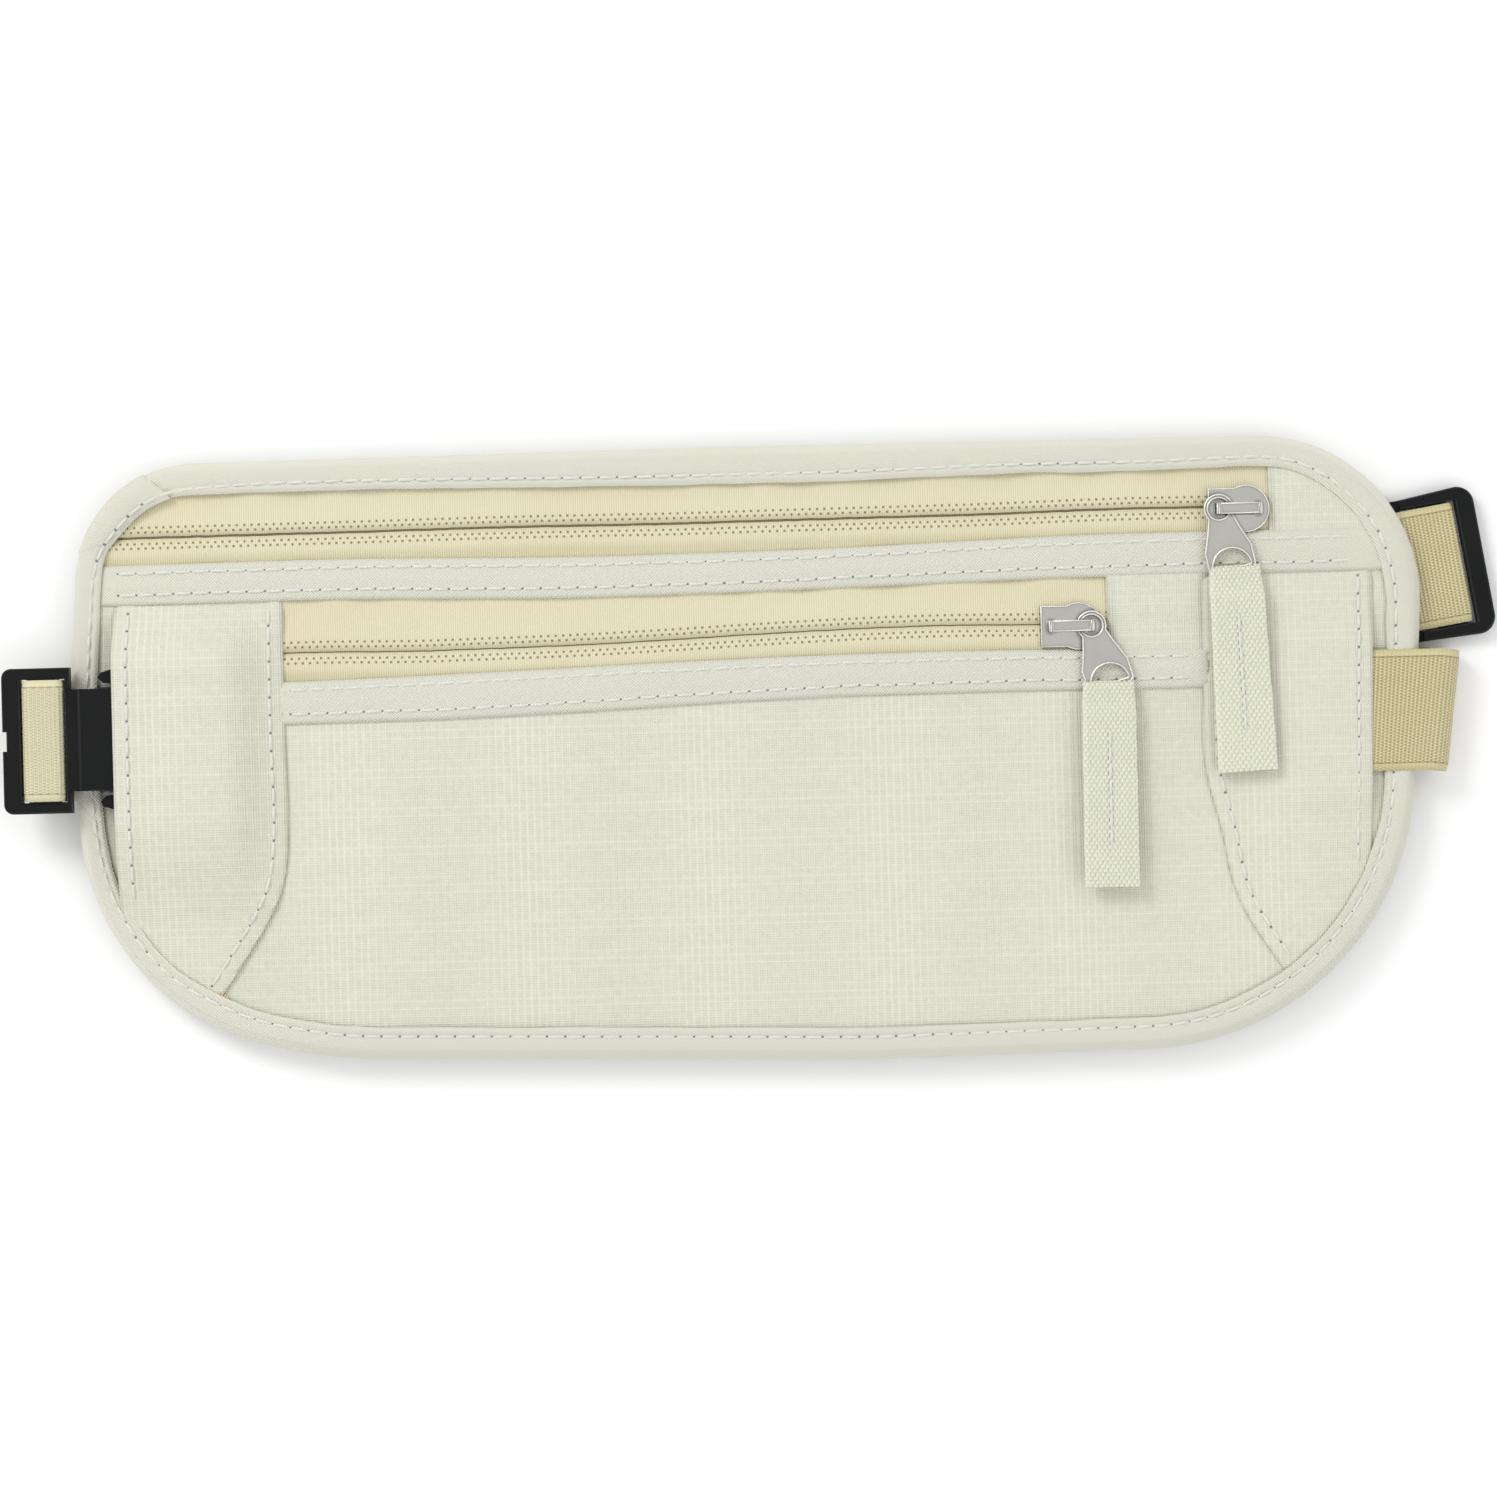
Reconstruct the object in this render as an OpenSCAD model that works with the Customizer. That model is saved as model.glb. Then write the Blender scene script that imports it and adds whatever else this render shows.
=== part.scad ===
// Flat waist pouch on an elastic belt, lying on its back.
// X runs across the pouch, Y up its face, Z out of its front; Z = 0 is the table.

/* [Pouch outline] */
// Width of the pouch over its binding
pouch_w = 280.5; // [277:0.5:284]
// Height of the pouch over its binding
pouch_h = 127.7; // [125:0.1:131]
// Visible width of the edge binding
binding_w = 7.6; // [6:0.1:9]
// Thickness of one fabric layer
fabric_t = 0.4; // [0.3:0.05:0.4]

/* [Zippers] */
// Height of the upper zipper line above the middle
upper_zip_y = 48; // [47.9:0.1:48.5]
// Height of the lower zipper line above the middle
lower_zip_y = 24.6; // [23.5:0.1:25]
// Gap between the two tapes of a zipper
zip_gap = 1.2; // [1.1:0.1:1.6]
// Width of a cloth pull tab
tab_w = 10.4; // [9:0.1:12]
// Length of a cloth pull tab
tab_len = 43; // [30:1:46]

/* [Belt] */
// Width of the elastic
strap_w = 25; // [24:0.1:25.4]
// Thickness of the elastic
strap_t = 0.9; // [0.7:0.05:0.9]
// How far the run behind the pouch rises between its ends
run_bow = 54; // [30:1:60]
// Slope of the tail where it meets the slide
tail_angle = 9.3; // [8:0.1:10]

/* [Buckle] */
// Overall width of the buckle
buckle_w = 30; // [29.8:0.1:31]
// Thickness of the buckle
buckle_t = 5.6; // [5.6:0.1:5.8]
// Thickness of the buckle's top and bottom shells
shell_t = 1.2; // [1:0.05:1.3]

/* [Hidden] */
$fn = 48;

// Edges of the pouch
left_x = -pouch_w / 2 - 1.25;
right_x = pouch_w / 2 - 1.25;
top_y = pouch_h / 2 - 0.15;
bottom_y = -pouch_h / 2 - 0.15;

// Heights of the layers above the table
back_z = 3.1;
panel_z = back_z + fabric_t;
lining_z = 4.0;
divider_z = 4.3;
slider_low_z = 4.7;
coil_z = 5.4;
front_z = 6.4;
trim_z = 6.9;
puller_z = 8.5;
bridge_z = 9.8;
buckle_z = 7.5;
roof_z = 13.4;
lining_t = 0.2;
plate_t = 0.6;
puller_t = 0.9;
tail_z = 2.05;

// Trim strips, wings and zipper ends
strip_1 = [35, 42.9];
strip_2 = [9.8, 18.1];
upper_zip_end = 107.8;
lower_zip_end = 73.8;
wing_l = -96.5;
wing_r = 93.8;
wing_open_l = -131.5;
wing_open_r = 128.8;
coil_w = 1.6;

// Corner circles of the outline as [x, y, radius], counter-clockwise from the top right
CORNERS = [
  [right_x - 33.8, top_y - 34.3, 33.8],
  [-5, top_y - 400, 400],
  [left_x + 27.1, top_y - 26, 25.3],
  [left_x + 100, 8, 100],
  [left_x + 51.7, bottom_y + 54.7, 50.3],
  [left_x + 64.5, bottom_y + 92.6, 90],
  [25, bottom_y + 300, 300],
  [right_x - 59.1, bottom_y + 57.9, 57.2]];
CORNER_STEPS = 8;

// Places of the sliders' rear edges and of the pins their pullers swing on
slider_len = 12.7;
upper_slider_x = 95.2;
lower_slider_x = 60;
leg_near = 2;
leg_far = 10.4;
upper_lean = 12;
lower_lean = 17;
puller_reach = 13.2;
hang_upper = 2.3;
hang_lower = -0.5;

// Buckle, measured from its outer bar towards the pouch
buckle_x = -154.4;
buckle_y = 6.2;
strap_bar = [5.2, 11.6];
arm_pivot = [40.2, 8.6];
arm_pin_r = 1.1;

// Tail end and its slide
slide_at = [148.6, 36.2];
bar_gap = 0.05;

// Route of the belt behind the pouch
run_x0 = -139;
run_x1 = 143.6;
run_len = run_x1 - run_x0;
run_y = buckle_y;
fold_tilt = 7.4;
fold_top = [147.2, 18.1];
RUN_STEPS = 20;

// The tail: its length in X up to the cut, and its rise over it
tail_cut = 34.2;
tail_end = slide_at - tail_cut * [cos(tail_angle), sin(tail_angle)];
tail_span = tail_end[0] - run_x0;
tail_rise = tail_end[1] - run_y;
tail_slope = tail_span * tan(tail_angle);

// The fold at the right, where the belt turns under the pouch
belt_front_z = 7.4;
fold_r = (belt_front_z + strap_t) / 2;
fold_dx = strap_w * tan(fold_tilt);
fold_axis = [fold_top[0] - fold_r, fold_top[1]];
fold_foot = fold_axis - [fold_dx, strap_w];

// Angle of the outward normal on the tangent between two corner circles
function edge_angle(p, q) =
  atan2(q[1] - p[1], q[0] - p[0]) - 90
  + asin((p[2] - q[2]) / norm([q[0] - p[0], q[1] - p[1]]));

// Points on a circle between two angles
function arc(c, r, a0, a1, n) =
  [for (k = [0:n]) [c[0] + r * cos(a0 + (a1 - a0) * k / n), c[1] + r * sin(a0 + (a1 - a0) * k / n)]];

// The pouch's outline, moved inwards by inset
function outline(inset) = let (n = len(CORNERS)) [
  for (i = [0:n - 1])
    let (
      c = CORNERS[i],
      a0 = edge_angle(CORNERS[(i + n - 1) % n], c),
      a1 = edge_angle(c, CORNERS[(i + 1) % n]),
      sweep = (a1 - a0 + 720) % 360
    )
    each arc(c, c[2] - inset, a0, a0 + sweep, CORNER_STEPS)];

// Outline of a band of thickness t whose middle follows points
function unit(v) = v / norm(v);
function side(points, i) = let (
    n = len(points),
    d = unit(points[min(i + 1, n - 1)] - points[max(i - 1, 0)]))
  [-d[1], d[0]];
function band(points, t) = concat(
  [for (i = [0:len(points) - 1]) points[i] + side(points, i) * t / 2],
  [for (i = [len(points) - 1:-1:0]) points[i] - side(points, i) * t / 2]);

// Middle line of the two runs behind the pouch, as y for a place u from 0 to 1
function run_mid(u) = run_y + run_bow * u * u * (1 - u) - 0.75 * u;
function tail_mid(u) = run_y + (2 * tail_rise - tail_slope) * u + (tail_slope - tail_rise) * u * u;

module plate(z, t) {
  translate([0, 0, z]) linear_extrude(t) children();
}

// A shape drawn in X and Z, centred on y and extruded along Y
module across(y, w) {
  translate([0, y + w / 2, 0]) rotate([90, 0, 0]) linear_extrude(w) children();
}

module box_2d(x0, x1, y0, y1) {
  translate([x0, y0]) square([x1 - x0, y1 - y0]);
}

module pouch_2d(inset) {
  polygon(outline(inset));
}

// ---- pouch layers ----

module back_panel() {
  color("#ddd9c6") plate(panel_z, fabric_t) pouch_2d(0.6);
}

module rfid_lining() {
  color("#b9bcc0") plate(lining_z, lining_t) pouch_2d(0.6);
}

module pocket_divider() {
  color("#e2d8c6") plate(divider_z, lining_t) pouch_2d(0.6);
}

module front_panel() {
  color("#ddd9c6") plate(front_z, fabric_t) difference() {
    intersection() {
      pouch_2d(0.6);
      box_2d(left_x, right_x, bottom_y, strip_1[1] - 4);
    }
    box_2d(wing_l + 0.3, wing_r - 0.5, strip_2[1] - 4, strip_1[1]);
  }
}

module edge_binding() {
  color("#e6e4d4") {
    plate(back_z, trim_z + fabric_t - back_z) difference() {
      pouch_2d(0);
      pouch_2d(0.5);
    }
    for (z = [back_z, trim_z]) plate(z, fabric_t) difference() {
      pouch_2d(0);
      pouch_2d(binding_w);
    }
  }
}

module trim_strip(y0, y1, x0, x1) {
  color("#e3e1d2") plate(trim_z, 0.3) intersection() {
    pouch_2d(binding_w + 0.1);
    box_2d(x0, x1, y0, y1);
  }
}

module upper_trim_strip() {
  trim_strip(strip_1[0], strip_1[1], left_x, right_x);
}

module lower_trim_strip() {
  trim_strip(strip_2[0], strip_2[1], wing_l + 0.3, wing_r - 0.3);
}

// ---- zippers ----

module tape(x0, x1, y0, y1) {
  color("#dccb9c") plate(front_z, fabric_t) intersection() {
    pouch_2d(0.6);
    box_2d(x0, x1, y0, y1);
  }
}

module upper_tape_top() {
  tape(left_x, right_x, upper_zip_y + zip_gap / 2, top_y);
}

module upper_tape_bottom() {
  tape(left_x, right_x, strip_1[1] - 3.9, upper_zip_y - zip_gap / 2);
}

module lower_tape_top() {
  tape(wing_l + 0.4, wing_r - 0.6, lower_zip_y + zip_gap / 2, strip_1[1] - 4);
}

module lower_tape_bottom() {
  tape(wing_l + 0.4, wing_r - 0.6, strip_2[1] - 3.9, lower_zip_y - zip_gap / 2);
}

module coil(x0, x1, y) {
  color("#d2bd85") plate(coil_z, trim_z - coil_z - 0.6) box_2d(x0, x1, y, y + coil_w);
}

module upper_coil_top() {
  coil(left_x + 9, upper_zip_end + 6, upper_zip_y + zip_gap / 2);
}

module upper_coil_bottom() {
  coil(left_x + 9, upper_zip_end + 6, upper_zip_y - zip_gap / 2 - coil_w);
}

module lower_coil_top() {
  coil(wing_l + 0.4, lower_zip_end + 6, lower_zip_y + zip_gap / 2);
}

module lower_coil_bottom() {
  coil(wing_l + 0.4, lower_zip_end + 6, lower_zip_y - zip_gap / 2 - coil_w);
}

module upper_end_patch() {
  color("#ddd9c6") plate(trim_z, 0.3) intersection() {
    pouch_2d(binding_w + 0.1);
    box_2d(upper_zip_end, right_x, strip_1[1] + 0.1, top_y);
  }
}

module lower_end_patch() {
  color("#ddd9c6") plate(trim_z, 0.3)
    box_2d(lower_zip_end, wing_r - 0.6, strip_2[1] + 0.1, strip_1[0] - 0.1);
}

// Slider seen from above, with its rear edge at x = 0 and its nose to the right
module slider_2d() {
  nose_r = 4.9;
  rear = 4.25;
  translate([slider_len - nose_r, 0]) circle(nose_r);
  box_2d(0, 5.6, -rear, rear);
}

module slider(x, y) {
  leg_t = 1;
  bar_w = 2.3;
  neck_w = 0.7;
  low_z = trim_z + 0.5;
  top_z = trim_z + 1.2;
  color("#c9c9cb") translate([x, y, 0]) {
    plate(slider_low_z, plate_t) slider_2d();
    plate(low_z, top_z - low_z) slider_2d();
    plate(slider_low_z, low_z - slider_low_z + 0.1) box_2d(8, 11, -neck_w / 2, neck_w / 2);
    for (leg = [leg_near, leg_far]) plate(top_z - 0.1, bridge_z + 1 - top_z)
      box_2d(leg - leg_t / 2, leg + leg_t / 2, -bar_w / 2, bar_w / 2);
    across(0, bar_w) polygon([
      [leg_near - leg_t / 2, bridge_z], [leg_far + leg_t / 2, bridge_z],
      [leg_far + leg_t / 2, bridge_z + 0.6], [leg_far - 0.4, bridge_z + 1],
      [leg_near + 0.4, bridge_z + 1], [leg_near - leg_t / 2, bridge_z + 0.6]]);
  }
}

module upper_slider() {
  slider(upper_slider_x, upper_zip_y);
}

module lower_slider() {
  slider(lower_slider_x, lower_zip_y);
}

// Puller with its eyelet at the origin, pointing along -Y
module puller_shape() {
  eye_r = 3.1;
  hole_r = 2.15;
  bar_w = 1.6;
  dome_r = 3.9;
  end_y = -puller_reach - bar_w / 2;
  plate(puller_z, puller_t) difference() {
    union() {
      circle(eye_r);
      polygon([
        [-2.6, -1.6], [-3.5, -4.5], [-5, -8.5], [-5, end_y + 1.4], [-3.8, end_y],
        [3.8, end_y], [5, end_y + 1.4], [5, -8.5], [3.5, -4.5], [2.6, -1.6]]);
    }
    circle(hole_r);
    translate([0, end_y + bar_w]) intersection() {
      circle(dome_r);
      box_2d(-dome_r, dome_r, 0, dome_r);
    }
  }
}

// A point turned about the origin
function turned(p, a) = [p[0] * cos(a) - p[1] * sin(a), p[0] * sin(a) + p[1] * cos(a)];

// Folded cloth tab on the puller's end bar, hanging at an angle to the puller
module tab_shape(hang) {
  loop_r = 1;
  layer_t = 0.55;
  loop_w = 7.2;
  neck_x = 3.4;
  neck = 3.4;
  mid_z = puller_z + puller_t / 2;
  end_y = -puller_reach;
  color("#e9e8d2") {
    difference() {
      translate([-loop_w / 2, end_y, mid_z]) rotate([0, 90, 0]) cylinder(loop_w, r = loop_r + layer_t);
      translate([-loop_w, end_y, mid_z]) rotate([0, 90, 0]) cylinder(loop_w * 2, r = loop_r);
    }
    translate([0, end_y, 0]) plate(mid_z - layer_t, layer_t * 2) {
      polygon([
        [-neck_x, -loop_r - 0.1], [neck_x, -loop_r - 0.1],
        turned([neck_x, -neck - 0.2], hang), turned([-neck_x, -neck - 0.2], hang)]);
      rotate(hang) box_2d(-tab_w / 2, tab_w / 2, -tab_len, -neck);
    }
  }
}

module upper_puller() {
  color("#c9c9cb") translate([upper_slider_x + leg_near, upper_zip_y, 0])
    rotate([0, 0, upper_lean]) puller_shape();
}

module lower_puller() {
  color("#c9c9cb") translate([lower_slider_x + leg_far, lower_zip_y, 0])
    rotate([0, 0, lower_lean]) puller_shape();
}

module upper_pull_tab() {
  translate([upper_slider_x + leg_near, upper_zip_y, 0])
    rotate([0, 0, upper_lean]) tab_shape(hang_upper - upper_lean);
}

module lower_pull_tab() {
  translate([lower_slider_x + leg_far, lower_zip_y, 0])
    rotate([0, 0, lower_lean]) tab_shape(hang_lower - lower_lean);
}

// ---- wings over the ends of the belt ----

// A cloth tent: an outline in plan under a profile along X and a profile along Y
module tent(along_x, along_y, drop) {
  intersection() {
    translate([0, 0, front_z + fabric_t + 0.1 - drop]) linear_extrude(roof_z) children();
    translate([0, 0, -drop]) across(0, 2 * pouch_h) polygon(along_x);
    translate([0, 0, -drop]) rotate([90, 0, 90]) linear_extrude(4 * pouch_w, center = true)
      polygon(along_y);
  }
}

module wing(along_x, along_y) {
  color("#ddd9c6") difference() {
    tent(along_x, along_y, 0) children();
    tent(along_x, along_y, fabric_t) children();
  }
}

module left_wing() {
  low = trim_z + fabric_t;
  high = roof_z + fabric_t;
  wing(
    [[wing_l + 1, 0], [wing_l + 1, low], [-98.6, low], [-105.2, high], [left_x, high], [left_x, 0]],
    [[bottom_y, 0], [bottom_y, low], [-22, low], [-9.6, high], [22, high], [29, low], [36, low], [36, 0]]
  ) intersection() {
    pouch_2d(binding_w + 0.1);
    polygon([
      [wing_open_l, strip_1[0] - 0.1], [wing_open_l, bottom_y], [-100, bottom_y],
      [-111.7, -48.3], [-106.4, -40.6], [-101, -32], [-97.8, -24.5], [wing_l, -12.3],
      [wing_l - 0.1, strip_1[0] - 0.1]]);
  }
}

module right_wing() {
  low = trim_z + fabric_t;
  high = 8.5 + fabric_t;
  wing(
    [[wing_r - 1, 0], [wing_r - 1, low], [108, low], [111.5, high], [right_x, high], [right_x, 0]],
    [[bottom_y, 0], [bottom_y, low], [-16, low], [-9, high], [20, high], [27, low], [36, low], [36, 0]]
  ) intersection() {
    pouch_2d(binding_w + 0.1);
    polygon([
      [wing_r, strip_1[0] - 0.1], [wing_r - 0.5, -3.7], [96.4, -18], [99.8, -32.8], [109, -48.1],
      [122, bottom_y], [wing_open_r - 1.5, bottom_y], [wing_open_r - 1.5, -27],
      [wing_open_r, strip_1[0] - 0.1]]);
  }
}

// ---- buckle, drawn in its own plan: x from the outer bar, y from its middle ----

module at_buckle() {
  translate([buckle_x, buckle_y, 0]) children();
}

module buckle_female() {
  half = buckle_w / 2;
  waist = 10.5;
  frame_z = buckle_z + 1.4;
  frame_t = 2.8;
  rail_w = 2.3;
  throat = [31, 39];
  color("#17171a") at_buckle() {
    plate(frame_z, frame_t) difference() {
      union() {
        translate([2, -half + 2]) circle(2);
        translate([2, half - 2]) circle(2);
        box_2d(0, 3, -half + 2, half - 2);
        box_2d(2, 14, -half, half);
      }
      box_2d(3.8, strap_bar[0], -half + rail_w, half - rail_w);
      box_2d(strap_bar[1], 13, -half + rail_w, half - rail_w);
      box_2d(-1, 0.8, -2, 2);
    }
    plate(frame_z - 0.4, frame_t + 0.8) box_2d(13, 18.6, -waist, waist);
    for (z = [buckle_z, buckle_z + buckle_t - shell_t]) plate(z, shell_t) {
      polygon([
        [16, -waist], [19, -waist], [throat[0], -11.6], [throat[0], -half], [throat[1], -half],
        [throat[1], half], [throat[0], half], [throat[0], 11.6], [19, waist], [16, waist]]);
    }
    plate(buckle_z, buckle_t) box_2d(16, 18.6, -waist, waist);
    for (s = [-1, 1]) plate(buckle_z, buckle_t)
      translate([0, s * (half + 12.6) / 2]) box_2d(throat[0], throat[1], -1.2, 1.2);
  }
}

module buckle_male() {
  half = buckle_w / 2;
  mid_z = buckle_z + shell_t + 0.3;
  mid_t = buckle_t - 2 * shell_t - 0.6;
  color("#17171a") at_buckle() {
    plate(mid_z, mid_t) box_2d(22, 42, -1.4, 1.4);
    plate(buckle_z + 0.6, buckle_t - 1.2) difference() {
      box_2d(39.4, 42, -half + 1, half - 1);
      for (s = [-1, 1]) translate([arm_pivot[0], s * arm_pivot[1]]) circle(arm_pin_r + 0.25);
    }
    plate(buckle_z + 1.8, 2) difference() {
      box_2d(41.7, 47.2, -half, half);
      box_2d(42, 44.6, -half + 1.8, half - 1.8);
    }
  }
}

module buckle_arm(s) {
  mid_z = buckle_z + shell_t + 0.3;
  mid_t = buckle_t - 2 * shell_t - 0.6;
  color("#17171a") at_buckle() plate(mid_z, mid_t) mirror([0, s < 0 ? 1 : 0]) {
    translate(arm_pivot) circle(arm_pin_r);
    polygon([
      [40.2, 8], [40.2, 9.2], [38.9, 9.7], [30.7, 10.6], [30.7, 14.6], [27, 14.8], [22.5, 14.4],
      [20.5, 13.8], [19.8, 12.8], [21, 11.6], [25, 11], [30, 8.2], [38.9, 7.6]]);
  }
}

module buckle_arm_a() {
  buckle_arm(1);
}

module buckle_arm_b() {
  buckle_arm(-1);
}

module buckle_anchor() {
  bar = [buckle_x + 44.6, buckle_x + 47.2];
  low = buckle_z + 1.8 - 0.1 - strap_t / 2;
  high = buckle_z + 3.8 + 0.1 + strap_t / 2;
  mid = (low + high) / 2;
  r = (high - low) / 2;
  color("#e6d6a8") across(buckle_y, strap_w) polygon(band(concat(
    [[-101.9, 7.4], [-103.9, 7.4], [-106.4, low]],
    arc([bar[0] + 0.4, mid], r, 270, 90, 8),
    [[-106.6, high], [-103.4, 8.4], [-101.9, 8.4]]), strap_t));
}

// ---- elastic belt ----

module belt_front() {
  anchor_x = 112.5;
  color("#d9c78f") plate(belt_front_z, strap_t)
    polygon([[anchor_x, fold_foot[1]], [anchor_x, fold_axis[1]], fold_axis, fold_foot]);
}

module belt_fold() {
  color("#d9c78f") translate([fold_axis[0], fold_axis[1], fold_r]) rotate([0, 0, -fold_tilt])
    rotate([90, 0, 0]) linear_extrude(strap_w / cos(fold_tilt)) difference() {
      circle(fold_r);
      circle(fold_r - strap_t);
      box_2d(-fold_r - 1, 0, -fold_r - 1, fold_r + 1);
    }
}

module belt_run() {
  top_end = 0.975;
  foot_end = 0.965;
  color("#d9c78f") plate(0, strap_t) polygon(concat(
    [for (k = [0:RUN_STEPS]) let (u = top_end * k / RUN_STEPS)
      [run_x0 + run_len * u, run_mid(u) + strap_w / 2]],
    [fold_axis, fold_foot],
    [for (k = [RUN_STEPS:-1:0]) let (u = foot_end * k / RUN_STEPS)
      [run_x0 + run_len * u, run_mid(u) - strap_w / 2]]));
}

// Elastic over the buckle's middle bar, from the lower run to the tail
module belt_bar_loop() {
  bar = [buckle_x + strap_bar[0], buckle_x + strap_bar[1]];
  out = 0.2 + strap_t / 2;
  top = buckle_z + 4.2 + out;
  low = strap_t / 2;
  tail = tail_z + strap_t / 2;
  color("#d9c78f") across(buckle_y, strap_w) polygon(band(concat(
    [[run_x0, low]],
    arc([bar[0] - out + 1.2, low + 1.2], 1.2, 270, 180, 5),
    arc([bar[0] - out + 0.8, top - 0.8], 0.8, 180, 90, 4),
    arc([bar[1] + out - 0.8, top - 0.8], 0.8, 90, 0, 4),
    arc([bar[1] + out + 0.8, tail + 0.8], 0.8, 180, 270, 4),
    [[run_x0, tail]]), strap_t));
}

module belt_tail() {
  last = 0.94;
  across_end = strap_w / 2 * [-sin(tail_angle), cos(tail_angle)];
  color("#d9c78f") plate(tail_z, strap_t) polygon(concat(
    [for (k = [0:RUN_STEPS]) let (u = last * k / RUN_STEPS)
      [run_x0 + tail_span * u, tail_mid(u) + strap_w / 2]],
    [tail_end + across_end, tail_end - across_end],
    [for (k = [RUN_STEPS:-1:0]) let (u = last * k / RUN_STEPS)
      [run_x0 + tail_span * u, tail_mid(u) - strap_w / 2]]));
}

// Local frame of the slide: origin at the fold of the tail, X out along the strap
module at_slide() {
  translate([slide_at[0], slide_at[1], 0]) rotate([0, 0, tail_angle]) children();
}

module belt_tail_end() {
  fold = -1.45;
  top = tail_z + strap_t / 2;
  low = bar_gap + strap_t / 2;
  mid = (top + low) / 2;
  color("#d9c78f") at_slide() across(0, strap_w) polygon(band(concat(
    [[0.2 - tail_cut, top]],
    arc([fold, mid], (top - low) / 2, 90, -90, 8),
    [[-14.9, low], [-17, low + 0.3], [-19, low + 0.98], [-20, low + 1], [-28, low + 1]]), strap_t));
}

module tri_glide() {
  half = 15.5;
  corner_r = 3.6;
  outer_x = 4.4;
  rail_y = 12.9;
  color("#1d1d20") at_slide() {
    plate(0, 2.6) difference() {
      union() {
        for (s = [-1, 1]) translate([outer_x - corner_r, s * (half - corner_r)]) circle(corner_r);
        box_2d(0, outer_x, corner_r - half, half - corner_r);
        polygon([
          [-11, 0.6 - half], [outer_x - corner_r, -half],
          [outer_x - corner_r, half], [-11, half - 0.6]]);
      }
      box_2d(-12, 0.6, -rail_y, rail_y);
    }
    plate(1, 1) box_2d(-14.5, -11, 0.6 - half, half - 0.6);
    for (s = [-1, 1]) plate(1, 1) translate([0, s * (rail_y + 1)]) box_2d(-11.1, -10.9, -1, 1);
    plate(1, 1) box_2d(-7.5, -1.4, -rail_y - 0.5, rail_y + 0.5);
  }
}

back_panel();
rfid_lining();
pocket_divider();
front_panel();
edge_binding();
upper_tape_top();
upper_tape_bottom();
lower_tape_top();
lower_tape_bottom();
upper_coil_top();
upper_coil_bottom();
lower_coil_top();
lower_coil_bottom();
upper_end_patch();
lower_end_patch();
upper_trim_strip();
lower_trim_strip();
left_wing();
right_wing();
upper_slider();
upper_puller();
upper_pull_tab();
lower_slider();
lower_puller();
lower_pull_tab();
buckle_female();
buckle_male();
buckle_arm_a();
buckle_arm_b();
buckle_anchor();
belt_front();
belt_fold();
belt_run();
belt_bar_loop();
belt_tail();
belt_tail_end();
tri_glide();
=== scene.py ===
from math import asin, atan2, copysign, cos, dist, hypot, pi, radians, sin, sqrt, tan

import bmesh
import bpy
from mathutils import Matrix, Vector, kdtree, noise


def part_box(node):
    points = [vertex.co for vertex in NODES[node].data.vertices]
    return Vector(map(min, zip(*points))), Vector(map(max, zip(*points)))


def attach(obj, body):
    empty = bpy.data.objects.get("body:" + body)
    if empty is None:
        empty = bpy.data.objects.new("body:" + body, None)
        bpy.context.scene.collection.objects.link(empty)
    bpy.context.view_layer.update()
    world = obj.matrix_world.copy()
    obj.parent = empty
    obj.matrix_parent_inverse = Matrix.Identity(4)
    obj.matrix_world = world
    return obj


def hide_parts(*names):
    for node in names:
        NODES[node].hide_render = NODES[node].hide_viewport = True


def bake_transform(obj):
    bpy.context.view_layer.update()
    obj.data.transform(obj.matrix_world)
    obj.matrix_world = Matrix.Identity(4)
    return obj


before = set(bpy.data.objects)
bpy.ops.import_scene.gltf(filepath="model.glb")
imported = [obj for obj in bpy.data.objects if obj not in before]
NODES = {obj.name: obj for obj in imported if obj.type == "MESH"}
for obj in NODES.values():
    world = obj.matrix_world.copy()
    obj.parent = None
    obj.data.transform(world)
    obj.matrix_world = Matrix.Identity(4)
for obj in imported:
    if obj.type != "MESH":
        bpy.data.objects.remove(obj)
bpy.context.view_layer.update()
MM = 0.001
UP = Vector((0, 0, 1))

# ---------------------------------------- dimensions, in mm


def span(node):
    """Lowest and highest corner of a CAD node, in mm."""
    low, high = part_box(node)
    return Vector(low) / MM, Vector(high) / MM


(LEFT, BOTTOM, BACK_Z), (RIGHT, TOP, FRONT_Z) = span("edge_binding")
STRIP_1 = [span("upper_trim_strip")[k].y for k in (0, 1)]
STRIP_2 = [span("lower_trim_strip")[k].y for k in (0, 1)]
UPPER_LINE = span("upper_tape_top")[0].y - 0.6
LOWER_LINE = span("lower_tape_top")[0].y - 0.6
UPPER_END = span("upper_end_patch")[0].x
LOWER_END = span("lower_end_patch")[0].x
WING_L = span("left_wing")
WING_R = span("right_wing")
BUCKLE = span("buckle_female")
STRAP = span("belt_bar_loop")
STRAP_W = STRAP[1].y - STRAP[0].y
STRAP_T = 0.9
BINDING_W = 7.6
BINDING_SEAM = BINDING_W - 1.9
LAP_AT = (-119.2, 56.2)
LAP_SLANT = 11
LAP_RISE = 0.75
FABRIC = 0.4
STITCH = 3.8
TAB_ROW = 0.8
TAB_COLUMN = 0.52

# Corner circles of the outline as (x, y, radius), counter-clockwise from the top right
CORNERS = [
    (RIGHT - 33.8, TOP - 34.3, 33.8), (-5, TOP - 400, 400), (LEFT + 27.1, TOP - 26, 25.3),
    (LEFT + 100, 8, 100), (LEFT + 51.7, BOTTOM + 54.7, 50.3), (LEFT + 64.5, BOTTOM + 92.6, 90),
    (25, BOTTOM + 300, 300), (RIGHT - 59.1, BOTTOM + 57.9, 57.2)]

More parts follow.
